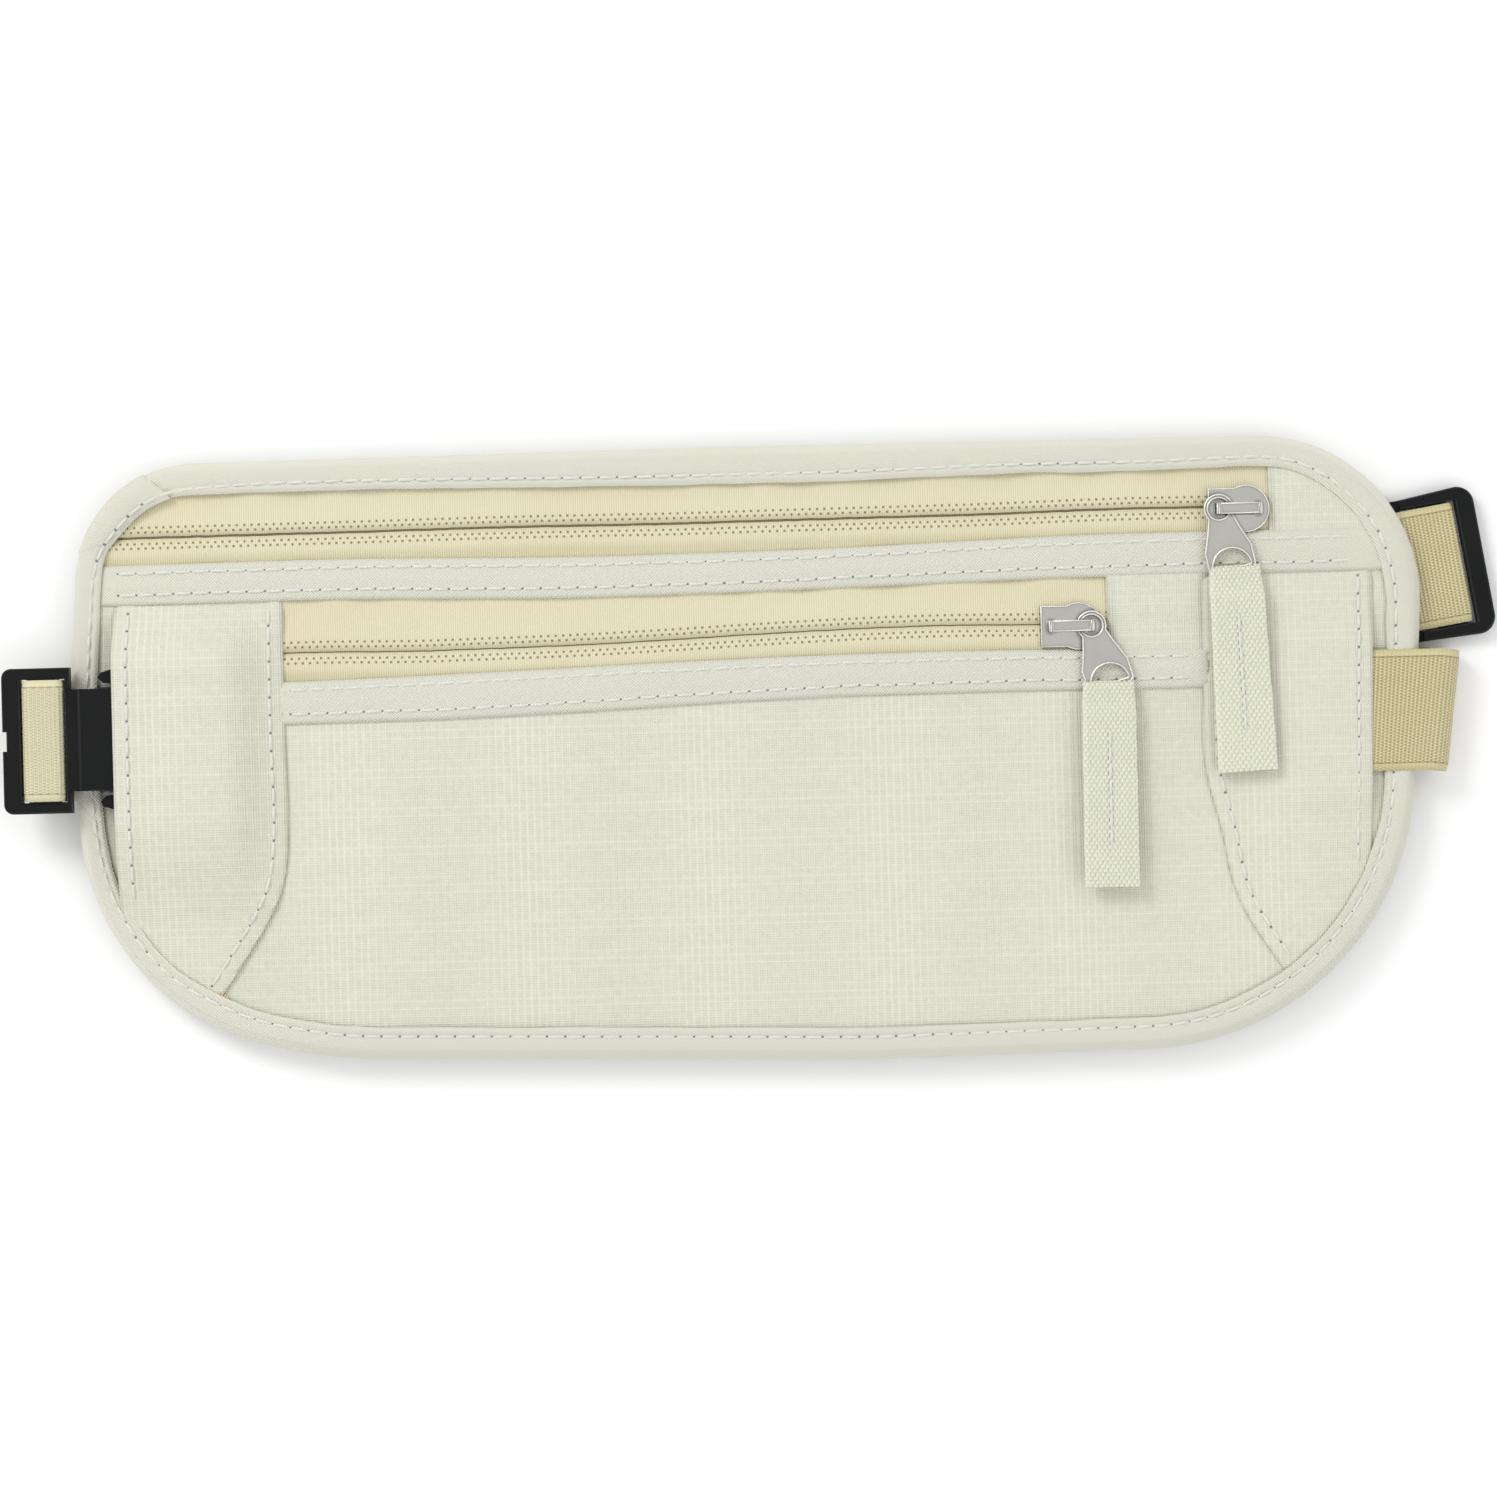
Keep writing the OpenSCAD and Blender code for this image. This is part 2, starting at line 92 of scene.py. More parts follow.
LEFT_WING_EDGE = [(-111.7, -48.3), (-106.4, -40.6), (-101, -32), (-97.8, -24.5), (-96.5, -12.3)]
RIGHT_WING_EDGE = [(93.3, -3.7), (96.4, -18), (99.8, -32.8), (109, -48.1), (114, -55)]


def upper_line(x):
    """The upper zip rises a little towards its middle."""
    rise = 0.95 * smooth(-130, 50, x) - 0.25 * smooth(60, 110, x)
    return UPPER_LINE - 0.3 + rise - 0.5 * smooth(-60, -5, x) + 0.6 * smooth(40, 85, x)


def lower_line(x):
    """The lower zip leans: low at the left and high at the slider."""
    sag = 0.6 * smooth(-93, -65, x) - 1.3 * smooth(-45, 30, x) + 0.7 * smooth(35, 68, x)
    return LOWER_LINE - 1.5 + 1.9 * (x - WING_L[1].x) / 156 - sag


def lean(x):
    """How far the strips dip towards the left."""
    return -1.25 * max(60 - x, 0) / 190


def trim_low(x, strip):
    """The sewn position of a strip's lower edge at x."""
    if strip is STRIP_1:
        return strip[0] + lean(x) - 1.35 * smooth(-95, -30, x) + 1.05 * smooth(-20, 85, x)
    return strip[0] + lean(x) - 0.4 + 2.15 * smooth(-70, 25, x) - 0.3 * smooth(45, 85, x)


def trim_high(x, strip):
    """The sewn position of a strip's upper edge at x."""
    if strip is STRIP_1:
        return strip[1] + lean(x) + 0.4 - 1.2 * smooth(-95, -25, x) + 1.4 * smooth(0, 85, x)
    return strip[1] + lean(x) + 2.1 * smooth(-110, 25, x) - 0.6 * smooth(35, 85, x)


def bind_w(x, y):
    """Visible width of the binding, which was sewn by hand and varies."""
    top = 1.2 * smooth(-90, -10, x) - 0.9 * smooth(10, 60, x) - 0.6 * smooth(75, 110, x)
    side = 0.9 * smooth(112, 135, x) * smooth(0, 45, y) - 1.0 * smooth(-112, -128, x) * smooth(55, 45, y)
    return BINDING_W - 0.95 + top * smooth(35, 45, y) + side


def smooth(a, b, x):
    """0 at a and 1 at b, with a soft start and end."""
    t = min(max((x - a) / (b - a), 0.0), 1.0)
    return t * t * (3 - 2 * t)


def edge_angle(p, q):
    """Direction of the outward normal of the line that touches two corner circles."""
    run = hypot(q[0] - p[0], q[1] - p[1])
    return atan2(q[1] - p[1], q[0] - p[0]) - pi / 2 + asin((p[2] - q[2]) / run)


def rim(step=2.5):
    """Points round the pouch with their outward normals, about step apart."""
    raw = []
    count = len(CORNERS)
    for i, c in enumerate(CORNERS):
        a0 = edge_angle(CORNERS[i - 1], c)
        a1 = edge_angle(c, CORNERS[(i + 1) % count])
        sweep = (a1 - a0) % (2 * pi)
        for k in range(33):
            a = a0 + sweep * k / 32
            normal = Vector((cos(a), sin(a)))
            raw.append((Vector((c[0], c[1])) + normal * c[2], normal))
    lengths = [0]
    for i in range(len(raw)):
        lengths.append(lengths[-1] + (raw[(i + 1) % len(raw)][0] - raw[i][0]).length)
    total = lengths[-1]
    n = round(total / step)
    out = []
    j = 0
    for k in range(n):
        s = total * k / n
        while lengths[j + 1] < s:
            j += 1
        f = (s - lengths[j]) / max(lengths[j + 1] - lengths[j], 1e-9)
        a, b = raw[j % len(raw)], raw[(j + 1) % len(raw)]
        out.append((a[0].lerp(b[0], f), a[1].lerp(b[1], f).normalized()))
    return out


def outline(inset, step=2.5):
    """The pouch's outline moved inwards."""
    return [p - n * inset for p, n in rim(step)]


# ---------------------------------------- materials


class Graph:
    """A principled material and short names for the nodes that shape it."""

    def __init__(self, name, roughness, sheen=0.0, metallic=0.0):
        self.mat = bpy.data.materials.new(name)
        self.mat.use_nodes = True
        self.nodes = self.mat.node_tree.nodes
        self.links = self.mat.node_tree.links
        self.shader = self.nodes["Principled BSDF"]
        self.shader.inputs["Roughness"].default_value = roughness
        self.shader.inputs["Metallic"].default_value = metallic
        self.shader.inputs["Sheen Weight"].default_value = sheen
        self.shader.inputs["Sheen Roughness"].default_value = 0.5

    def put(self, socket, value):
        if isinstance(value, (int, float)):
            socket.default_value = value
        elif isinstance(value, tuple):
            socket.default_value = (*value, 1)
        else:
            self.links.new(value, socket)

    def math(self, op, a, b=0.0, c=0.0):
        node = self.nodes.new("ShaderNodeMath")
        node.operation = op
        for socket, value in zip(node.inputs, (a, b, c)):
            self.put(socket, value)
        return node.outputs[0]

    def place(self, uv=False):
        """Coordinates in mm: along the strap with uv, and else in the object's own frame."""
        coord = self.nodes.new("ShaderNodeTexCoord")
        split = self.nodes.new("ShaderNodeSeparateXYZ")
        self.links.new(coord.outputs["UV" if uv else "Object"], split.inputs[0])
        scale = 1.0 if uv else 1 / MM
        return [self.math("MULTIPLY", split.outputs[k], scale) for k in range(2)]

    def wave(self, x, pitch):
        return self.math("SINE", self.math("MULTIPLY", x, 2 * pi / pitch))

    def line(self, x, pitch, width):
        """1 on lines a pitch apart, and 0 between them."""
        near = self.math("PINGPONG", x, pitch / 2)
        return self.math("SUBTRACT", 1.0, self.math("DIVIDE", near, width))

    def clamp(self, x):
        return self.math("MINIMUM", self.math("MAXIMUM", x, 0.0), 1.0)

    def noise(self, scale, detail=2.0, uv=False):
        coord = self.nodes.new("ShaderNodeTexCoord")
        node = self.nodes.new("ShaderNodeTexNoise")
        self.links.new(coord.outputs["UV" if uv else "Object"], node.inputs["Vector"])
        node.inputs["Scale"].default_value = scale
        node.inputs["Detail"].default_value = detail
        return node.outputs["Fac"]

    def blend(self, factor, a, b):
        node = self.nodes.new("ShaderNodeMix")
        node.data_type = "RGBA"
        self.put(node.inputs[0], factor)
        self.put(node.inputs[6], a)
        self.put(node.inputs[7], b)
        return node.outputs[2]

    def colour(self, value):
        self.put(self.shader.inputs["Base Color"], value)

    def bump(self, height, distance, strength=1.0):
        node = self.nodes.new("ShaderNodeBump")
        node.inputs["Distance"].default_value = distance * MM
        node.inputs["Strength"].default_value = strength
        self.links.new(height, node.inputs["Height"])
        self.links.new(node.outputs[0], self.shader.inputs["Normal"])


def make_ripstop():
    g = Graph("ripstop", 0.72, sheen=0.12)
    x, y = g.place()
    fine = g.math("ADD", g.wave(x, 0.5), g.math("MULTIPLY", g.wave(y, 0.5), 0.8))
    grid_x = g.clamp(g.line(x, 1.52, 0.2))
    grid_y = g.clamp(g.line(y, 1.6, 0.2))
    grid = g.math("MAXIMUM", grid_x, g.math("MULTIPLY", grid_y, 0.7))
    tone = g.blend(g.noise(14, 3), (0.63, 0.645, 0.525), (0.70, 0.67, 0.575))
    rubbed = g.clamp(g.math("MULTIPLY_ADD", g.noise(620, 3), 1.6, -0.5))
    worn = g.blend(rubbed, tone, (0.75, 0.745, 0.64))
    woven = g.blend(g.clamp(g.math("MULTIPLY_ADD", fine, -0.14, 0.12)), worn, (0.52, 0.52, 0.42))
    g.colour(g.blend(g.math("MULTIPLY", grid, 0.45), woven, (0.88, 0.87, 0.77)))
    g.bump(g.math("ADD", g.math("MULTIPLY", fine, 0.4), grid), 0.07)
    return g.mat


def make_twill():
    g = Graph("twill", 0.68, sheen=0.15)
    x, y = g.place()
    diagonal = g.math("ADD", x, y)
    rib = g.wave(diagonal, 0.62)
    cross = g.wave(g.math("SUBTRACT", x, y), 0.9)
    tone = g.blend(g.noise(18, 3), (0.775, 0.775, 0.65), (0.825, 0.81, 0.705))
    # Painted highlight on the twill's ridges and painted shade in its grooves, along the same rib wave
    # that drives the bump.
    ridge_highlight = g.clamp(g.math("MULTIPLY_ADD", rib, 0.3, 0.25))
    shaded = g.blend(g.clamp(g.math("MULTIPLY_ADD", rib, -0.32, 0.1)), tone, (0.54, 0.54, 0.44))
    g.colour(g.blend(ridge_highlight, shaded, (0.88, 0.87, 0.77)))
    g.bump(g.math("ADD", rib, g.math("MULTIPLY", cross, 0.3)), 0.08)
    return g.mat


def make_zip_tape():
    g = Graph("zip_tape", 0.62, sheen=0.1)
    x, off = g.place(uv=True)
    rib = g.wave(x, 0.47)
    dots = None
    for row, at in enumerate((-2.2, -1.25, 1.1, 2.1)):
        dx = g.math("PINGPONG", g.math("ADD", x, 0.75 * (row % 2)), 0.76)
        dy = g.math("SUBTRACT", off, at)
        far = g.math("SQRT", g.math("ADD", g.math("MULTIPLY", dx, dx), g.math("MULTIPLY", dy, dy)))
        dot = g.clamp(g.math("SUBTRACT", 1.7, g.math("DIVIDE", far, 0.2)))
        dots = dot if dots is None else g.math("MAXIMUM", dots, dot)
    tone = g.blend(g.noise(30, 3), (0.72, 0.652, 0.425), (0.77, 0.745, 0.56))
    ribbed = g.blend(g.clamp(g.math("MULTIPLY_ADD", rib, 0.3, 0.2)), tone, (0.59, 0.525, 0.32))
    # Painted shade: more than about 3.3 mm below its zip line, where the tape goes down under the strip,
    # it is darkened in ribbed bands.
    tucked_shade = g.clamp(g.math("MULTIPLY_ADD", off, -0.7, -2.3))
    shade = g.math("MULTIPLY", tucked_shade, g.math("MULTIPLY_ADD", rib, 0.2, 0.3))
    shaded = g.blend(shade, ribbed, (0.42, 0.37, 0.18))
    g.colour(g.blend(g.math("MULTIPLY", dots, 0.95), shaded, (0.22, 0.16, 0.07)))
    g.bump(g.math("SUBTRACT", g.math("MULTIPLY", rib, 0.35), dots), 0.12)
    return g.mat


def make_elastic(name, dark, light, gap, strength):
    """Ribbed elastic: columns of small beads with a plain selvage along each edge. gap is the colour of
    the painted shade in its hollows.
    """
    g = Graph(name, 0.75, sheen=0.15)
    s, w = g.place(uv=True)
    column = g.wave(s, 0.83)
    shift = g.math("MULTIPLY", g.math("FLOOR", g.math("DIVIDE", s, 0.83)), 0.31)
    bead = g.wave(g.math("ADD", w, shift), 0.62)
    from_middle = g.math("ABSOLUTE", w)
    selvage = g.math("GREATER_THAN", from_middle, STRAP_W / 2 - 1.55)
    near = g.math("ABSOLUTE", g.math("SUBTRACT", from_middle, STRAP_W / 2 - 1.5))
    groove = g.clamp(g.math("SUBTRACT", 1.0, g.math("DIVIDE", near, 0.2)))
    knit = g.math("ADD", g.math("MULTIPLY", column, 0.52), g.math("MULTIPLY", bead, 0.55))
    knit = g.math("MULTIPLY", knit, g.math("SUBTRACT", 1.0, g.math("MULTIPLY", selvage, 0.75)))
    tone = g.blend(g.noise(0.05, 2, uv=True), dark, light)
    # Painted shade: the knit's hollows, and the groove beside each selvage, are darkened towards gap.
    hollow_shaded = g.blend(g.clamp(g.math("MULTIPLY_ADD", knit, -strength, strength * 0.7)), tone, gap)
    g.colour(g.blend(g.math("MULTIPLY", groove, 0.6), hollow_shaded, gap))
    g.bump(g.math("SUBTRACT", knit, g.math("MULTIPLY", groove, 1.5)), 0.16)
    return g.mat


def make_webbing():
    g = Graph("tab_webbing", 0.7, sheen=0.15)
    s, w = g.place(uv=True)
    weave = g.math("MULTIPLY", g.wave(s, 2 * TAB_ROW), g.wave(w, 2 * TAB_COLUMN))
    tone = g.blend(g.noise(0.3, 2, uv=True), (0.82, 0.84, 0.68), (0.87, 0.88, 0.76))
    # Painted shade: the gaps between the woven rows and the low points of the weave are darkened.
    gap_shade = g.clamp(g.math("SUBTRACT", 0.5, g.math("ABSOLUTE", g.wave(s, 2 * TAB_ROW))))
    low = g.clamp(g.math("MULTIPLY_ADD", weave, -0.6, -0.05))
    g.colour(g.blend(g.math("ADD", gap_shade, low), tone, (0.50, 0.52, 0.34)))
    g.bump(g.wave(w, 0.3), 0.05)
    return g.mat


def make_nickel(name, gloss):
    g = Graph(name, gloss, metallic=1.0)
    grain = g.noise(1400, 3)
    # Painted shade: ambient occlusion darkens the metal in creases, round holes and where parts meet.
    crease_occlusion = g.nodes.new("ShaderNodeAmbientOcclusion")
    crease_occlusion.inputs["Distance"].default_value = 0.9 * MM
    out_of_crease_shade = g.math("POWER", crease_occlusion.outputs["AO"], 2.2)
    # Broad patches of lighter and darker metal: partly its own tone, partly painted reflection.
    metal_tone_and_reflection = g.blend(g.noise(160, 2), (0.80, 0.785, 0.73), (0.93, 0.925, 0.88))
    g.colour(g.blend(out_of_crease_shade, (0.16, 0.145, 0.12), metal_tone_and_reflection))
    g.bump(g.noise(170, 0), 0.12)
    g.put(g.shader.inputs["Roughness"], g.math("MULTIPLY_ADD", grain, 0.05, gloss))
    return g.mat


def make_plastic(name, gloss, dark, light):
    g = Graph(name, gloss)
    grain = g.noise(1800, 3)
    g.shader.inputs["Specular IOR Level"].default_value = 0.16
    g.colour(g.blend(g.noise(80, 3), dark, light))
    g.put(g.shader.inputs["Roughness"], g.math("MULTIPLY_ADD", grain, 0.15, gloss))
    g.bump(grain, 0.03, 0.6)
    return g.mat


def make_plain(name, dark, light, roughness, scale, depth=0.03, pitch=0.0):
    g = Graph(name, roughness)
    x, y = g.place()
    grain = g.noise(scale, 3)
    g.colour(g.blend(grain, dark, light))
    g.bump(g.wave(g.math("ADD", x, y), pitch) if pitch else grain, depth)
    return g.mat


RIPSTOP = make_ripstop()
TWILL = make_twill()
ZIP_TAPE = make_zip_tape()
ELASTIC = make_elastic("elastic", (0.76, 0.685, 0.40), (0.83, 0.765, 0.485), (0.33, 0.27, 0.09), 0.55)
# A less yellow copy of the elastic, with fainter painted shade in its knit, for the loop round the buckle
# bar.
ELASTIC_FAINT_SHADE = make_elastic("elastic_faint_shade", (0.73, 0.68, 0.44), (0.79, 0.74, 0.51), (0.50, 0.44, 0.24),
                           0.24)
WEBBING = make_webbing()
NICKEL = make_nickel("nickel", 0.1)
NICKEL_RIM = make_nickel("nickel_rim", 0.42)
PLASTIC = make_plastic("black_plastic", 0.36, (0.004, 0.004, 0.005), (0.008, 0.009, 0.008))
# Painted highlight: a lighter copy of the black plastic for the beads along the plastic parts' edges.
PLASTIC_RIM_HIGHLIGHT = make_plastic("plastic_rim", 0.3, (0.012, 0.014, 0.013), (0.02, 0.023, 0.021))
THREAD = make_plain("thread", (0.86, 0.87, 0.78), (0.95, 0.95, 0.88), 0.5, 700, 0.05, 0.35)
# Painted shade: the dark discs stand for the shade inside each needle hole.
HOLE_SHADE = make_plain("needle_hole_shade", (0.16, 0.16, 0.18), (0.27, 0.27, 0.29), 0.9, 900)
COIL = make_plain("zip_coil", (0.40, 0.30, 0.19), (0.62, 0.49, 0.32), 0.5, 300, 0.2, 1.2)
TACK = make_plain("tack_thread", (0.70, 0.55, 0.32), (0.82, 0.70, 0.46), 0.6, 700, 0.05, 0.35)
TEETH = make_plain("zip_teeth", (0.10, 0.065, 0.03), (0.30, 0.21, 0.12), 0.6, 900, 0.1, 0.9)
LINING = make_plain("lining", (0.40, 0.41, 0.43), (0.55, 0.56, 0.57), 0.35, 200, 0.05, 0.5)
DIVIDER = make_plain("lining_cloth", (0.62, 0.56, 0.46), (0.70, 0.64, 0.54), 0.8, 200, 0.05, 0.5)

# ---------------------------------------- shapes


def ripple(x, y, seed, size):
    """Gentle waves between about -1 and 1, the same each run."""
    return noise.noise(Vector((x / size, y / size, seed)))


RIM = kdtree.KDTree(len(rim()))
for index, (place, normal) in enumerate(rim()):
    RIM.insert((place.x, place.y, 0), index)
RIM.balance()


def clear_of_rim(x, y):
    """0 under the binding and 1 away from it."""
    return smooth(4.5, 9.5, RIM.find((x, y, 0))[2])


def front_z(x, y):
    """Height of the pouch's front cloth, which is held down along the binding."""
    gap = RIM.find((x, y, 0))[2]
    free = smooth(5, 17, gap)
    waves = 0.5 * ripple(x, y * 0.45, 3.1, 34) + 0.3 * ripple(x * 0.8, y, 7.7, 15)
    return FRONT_Z - 0.85 + free * (0.55 + waves)


def build(name, verts, faces, material, body="pouch", nodes=(), slot=None, uv=None):
    """Makes a smooth mesh piece from points in mm and hangs it on a body."""
    mesh = bpy.data.meshes.new(name)
    mesh.from_pydata([Vector(v) * MM for v in verts], [], faces)
    if uv:
        layer = mesh.uv_layers.new(name="UVMap")
        for loop in mesh.loops:
            layer.data[loop.index].uv = uv[loop.vertex_index]
    for poly in mesh.polygons:
        poly.use_smooth = True
    mesh.update()
    obj = bpy.data.objects.new(name, mesh)
    bpy.context.scene.collection.objects.link(obj)
    obj.data.materials.append(material)
    bm = bmesh.new()
    bm.from_mesh(mesh)
    bmesh.ops.recalc_face_normals(bm, faces=bm.faces)
    bm.to_mesh(mesh)
    bm.free()
    if body:
        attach(obj, body)
    if nodes:
        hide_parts(*nodes)
    return obj


def cloth(name, edge, height, material, nodes, step=3.0, thick=FABRIC, warp=None, uv=None):
    """A closed sheet of cloth: a flat outline cut into a grid and lifted to height(x, y).

    warp(x, y) moves a point along Y first, and uv(x, y) gives it weave coordinates.
    """
    bm = bmesh.new()
    bm.faces.new([bm.verts.new((p[0], p[1], 0)) for p in edge])
    xs = [p[0] for p in edge]
    ys = [p[1] for p in edge]
    for axis, low, high in ((0, min(xs), max(xs)), (1, min(ys), max(ys))):
        count = max(int((high - low) / step), 1)
        for k in range(1, count):
            at, normal = [0, 0, 0], [0, 0, 0]
            at[axis] = low + (high - low) * k / count
            normal[axis] = 1
            geom = bm.verts[:] + bm.edges[:] + bm.faces[:]
            bmesh.ops.bisect_plane(bm, geom=geom, plane_co=at, plane_no=normal, dist=1e-4)
    bmesh.ops.remove_doubles(bm, verts=bm.verts, dist=0.02)
    bm.verts.index_update()
    border = [e for e in bm.edges if e.is_boundary]
    n = len(bm.verts)
    flat = [(v.co.x, v.co.y) for v in bm.verts]
    coords = [uv(x, y) for x, y in flat] * 2 if uv else None
    moved = [(x, warp(x, y)) if warp else (x, y) for x, y in flat]
    verts = [(x, y, height(x, y)) for x, y in moved]
    verts += [(x, y, z - thick) for x, y, z in verts]
    faces = [[v.index for v in f.verts] for f in bm.faces]
    faces += [[v + n for v in reversed(f)] for f in faces]
    faces += [[e.verts[0].index, e.verts[1].index, e.verts[1].index + n, e.verts[0].index + n]
              for e in border]
    bm.free()
    slot = material.name.split(".")[0]
    return build(name, verts, faces, material, nodes=nodes, slot=slot, uv=coords)


def slab(rows, columns):
    """Faces of a closed slab: one grid of points, and then the same grid for its other side."""
    size = rows * columns
    faces = []
    for i in range(rows - 1):
        for j in range(columns - 1):
            a = i * columns + j
            faces.append([a, a + 1, a + columns + 1, a + columns])
            faces.append([size + a, size + a + columns, size + a + columns + 1, size + a + 1])
        for a in (i * columns, i * columns + columns - 1):
            faces.append([a, a + columns, size + a + columns, size + a])
    for j in range(columns - 1):
        for a in (j, (rows - 1) * columns + j):
            faces.append([a, a + 1, size + a + 1, size + a])
    return faces


def ribbon(name, rows, material, body, nodes=(), slot="elastic", thick=STRAP_T):
    """A strap: rows of points across it, each a list of (point, up) pairs from edge to edge.
    """
    verts, coords = [], []
    n = len(rows[0])
    for side in (1, -1):
        s = 0
        for i, row in enumerate(rows):
            if i:
                s += (row[n // 2][0] - rows[i - 1][n // 2][0]).length
            width = (row[-1][0] - row[0][0]).length
            for j, (p, up) in enumerate(row):
                t = j / (n - 1)
                round_off = 0.45 + 0.55 * min(1, min(t, 1 - t) * 18)
                verts.append(p + up * (side * thick / 2 * round_off))
                coords.append((s, (t - 0.5) * width))
    obj = build(name, verts, slab(len(rows), n), material, body, nodes, slot, coords)
    return obj


def walk(points, pitch, closed=False):
    """Places along a line at a pitch: (point, next point) for each stitch."""
    pts = list(points) + ([points[0]] if closed else [])
    out = []
    carry = 0.0
    for a, b in zip(pts, pts[1:]):
        length = (b - a).length
        while carry <= length:
            out.append(a.lerp(b, carry / max(length, 1e-9)))
            carry += pitch
        carry -= length
    return list(zip(out, out[1:]))


# Rings of six points along a stitch: the part of its length, its lift in mm and its relative girth
STITCH_RINGS = ((0.04, -0.12, 0.4), (0.16, 0.10, 1), (0.5, 0.2, 1.1), (0.84, 0.10, 1), (0.96, -0.12, 0.4))


def stitches(name, rows, height, body="pouch", thread_r=0.3, pitch=STITCH, closed=False, holes=True,
             material=None):
    """Raised thread along each row, with a dark disc of painted shade for the needle hole at each end of a
    stitch.
    """
    verts, faces, hole_verts, hole_faces = [], [], [], []
    for row in rows:
        for a, b in walk([Vector(p[:2]) for p in row], pitch, closed):
            along = (b - a).normalized()
            across = Vector((-along.y, along.x))
            base = len(verts)
            for t, lift, fat in STITCH_RINGS:
                p = a.lerp(b, t)
                z = height(p.x, p.y) + lift
                for k in range(6):
                    ang = pi * k / 3
                    off = across * (cos(ang) * thread_r * fat)
                    verts.append((p.x + off.x, p.y + off.y, z + sin(ang) * thread_r * fat))
            for i in range(len(STITCH_RINGS) - 1):
                for k in range(6):
                    q = base + i * 6
                    faces.append([q + k, q + (k + 1) % 6, q + 6 + (k + 1) % 6, q + 6 + k])
            faces.append([base + k for k in range(6)][::-1])
            faces.append([base + 24 + k for k in range(6)])
            base = len(hole_verts)
            z = height(a.x, a.y)
            for ring_r, lift in ((0.34, -0.05), (0.2, 0.09)):
                hole_verts += [(a.x + cos(pi * k / 3) * ring_r,
                                a.y + sin(pi * k / 3) * ring_r, z + lift) for k in range(6)]
            hole_faces += [[base + k, base + (k + 1) % 6, base + 6 + (k + 1) % 6, base + 6 + k]
                           for k in range(6)]
            hole_faces.append([base + 6 + k for k in range(6)])
            hole_faces.append([base + k for k in range(6)][::-1])
    build(name, verts, faces, material or THREAD, body)
    if holes:
        build(name + "_hole_shade", hole_verts, hole_faces, HOLE_SHADE, body)


def dress(node, material, bevel=0.0):
    """Gives a CAD node its material and rounds its edges."""
    obj = NODES[node]
    if not obj.material_slots:
        obj.data.materials.append(material)
    for holder in obj.material_slots:
        holder.material = material
    if bevel:
        rounding = obj.modifiers.new("rounding", "BEVEL")
        rounding.width = bevel * MM
        rounding.segments = 3
        rounding.limit_method = "ANGLE"
        rounding.angle_limit = radians(35)


# ---------------------------------------- pouch cloth


def clip(edge, x0, x1, y0, y1):
    """The part of an outline inside a rectangle."""
    for axis, value, keep in ((0, x0, 1), (0, x1, -1), (1, y0, 1), (1, y1, -1)):
        out = []
        for i, q in enumerate(edge):
            p = edge[i - 1]
            inside_p = (p[axis] - value) * keep >= 0
            inside_q = (q[axis] - value) * keep >= 0
            if inside_p != inside_q:
                f = (value - p[axis]) / (q[axis] - p[axis])
                out.append(Vector((p[0] + (q[0] - p[0]) * f, p[1] + (q[1] - p[1]) * f)))
            if inside_q:
                out.append(Vector((q[0], q[1])))
        edge = out
    return edge


def inside(p, edge):
    hit = False
    for i, q in enumerate(edge):
        r = edge[i - 1]
        if (q[1] > p[1]) != (r[1] > p[1]):
            if p[0] < (r[0] - q[0]) * (p[1] - q[1]) / (r[1] - q[1]) + q[0]:
                hit = not hit
    return hit


panel_edge = clip(outline(1.2), LEFT, RIGHT, BOTTOM, STRIP_2[1] - 2)
front = cloth("front_cloth", panel_edge, front_z, RIPSTOP, ["front_panel"])

for tag, x0, x1 in (("left", LEFT, WING_L[1].x - 0.8), ("right", WING_R[0].x + 1.0, RIGHT)):
    side_edge = clip(outline(1.2), x0, x1, STRIP_2[1] - 2, STRIP_1[1] - 2)
    side = cloth("side_cloth_" + tag, side_edge, front_z, RIPSTOP, ())

back_edge = outline(1.2, 4)
back = cloth("back_cloth", back_edge,
             lambda x, y: BACK_Z + 0.75 + 0.25 * ripple(x, y, 5.5, 30), RIPSTOP, ["back_panel"],
             step=4.5)

# ---------------------------------------- zippers


def make_tape(name, node, x0, x1, y0, y1, level, line):
    """One tape of a zip: level is its line in the flat pattern, line(x) the line as sewn."""
    edge = clip(outline(2.0), x0, x1, y0, y1)

    def height(x, y):
        away = abs(y - line(x))
        lip = 0.32 * smooth(0, 1.5, away) * (1 - smooth(2.6, 5.0, away))
        gather = sin(x / 2.9 + 1.4 * sin(x / 13)) * (0.6 + 0.4 * sin(x / 27))
        return front_z(x, y) - 0.15 + lip + 0.3 * gather * smooth(3.5, 9, away)

    def warp(x, y):
        fray = 0.11 * ripple(x, y - level, 2.2, 2.4) * (1 - smooth(0.3, 1.2, abs(y - level)))
        return y + (line(x) - level) * (1 - smooth(4, 12, abs(y - level))) + fray

    obj = cloth(name, edge, height, ZIP_TAPE, [node], step=1.6, warp=warp,
                uv=lambda x, y: (x, y - level))


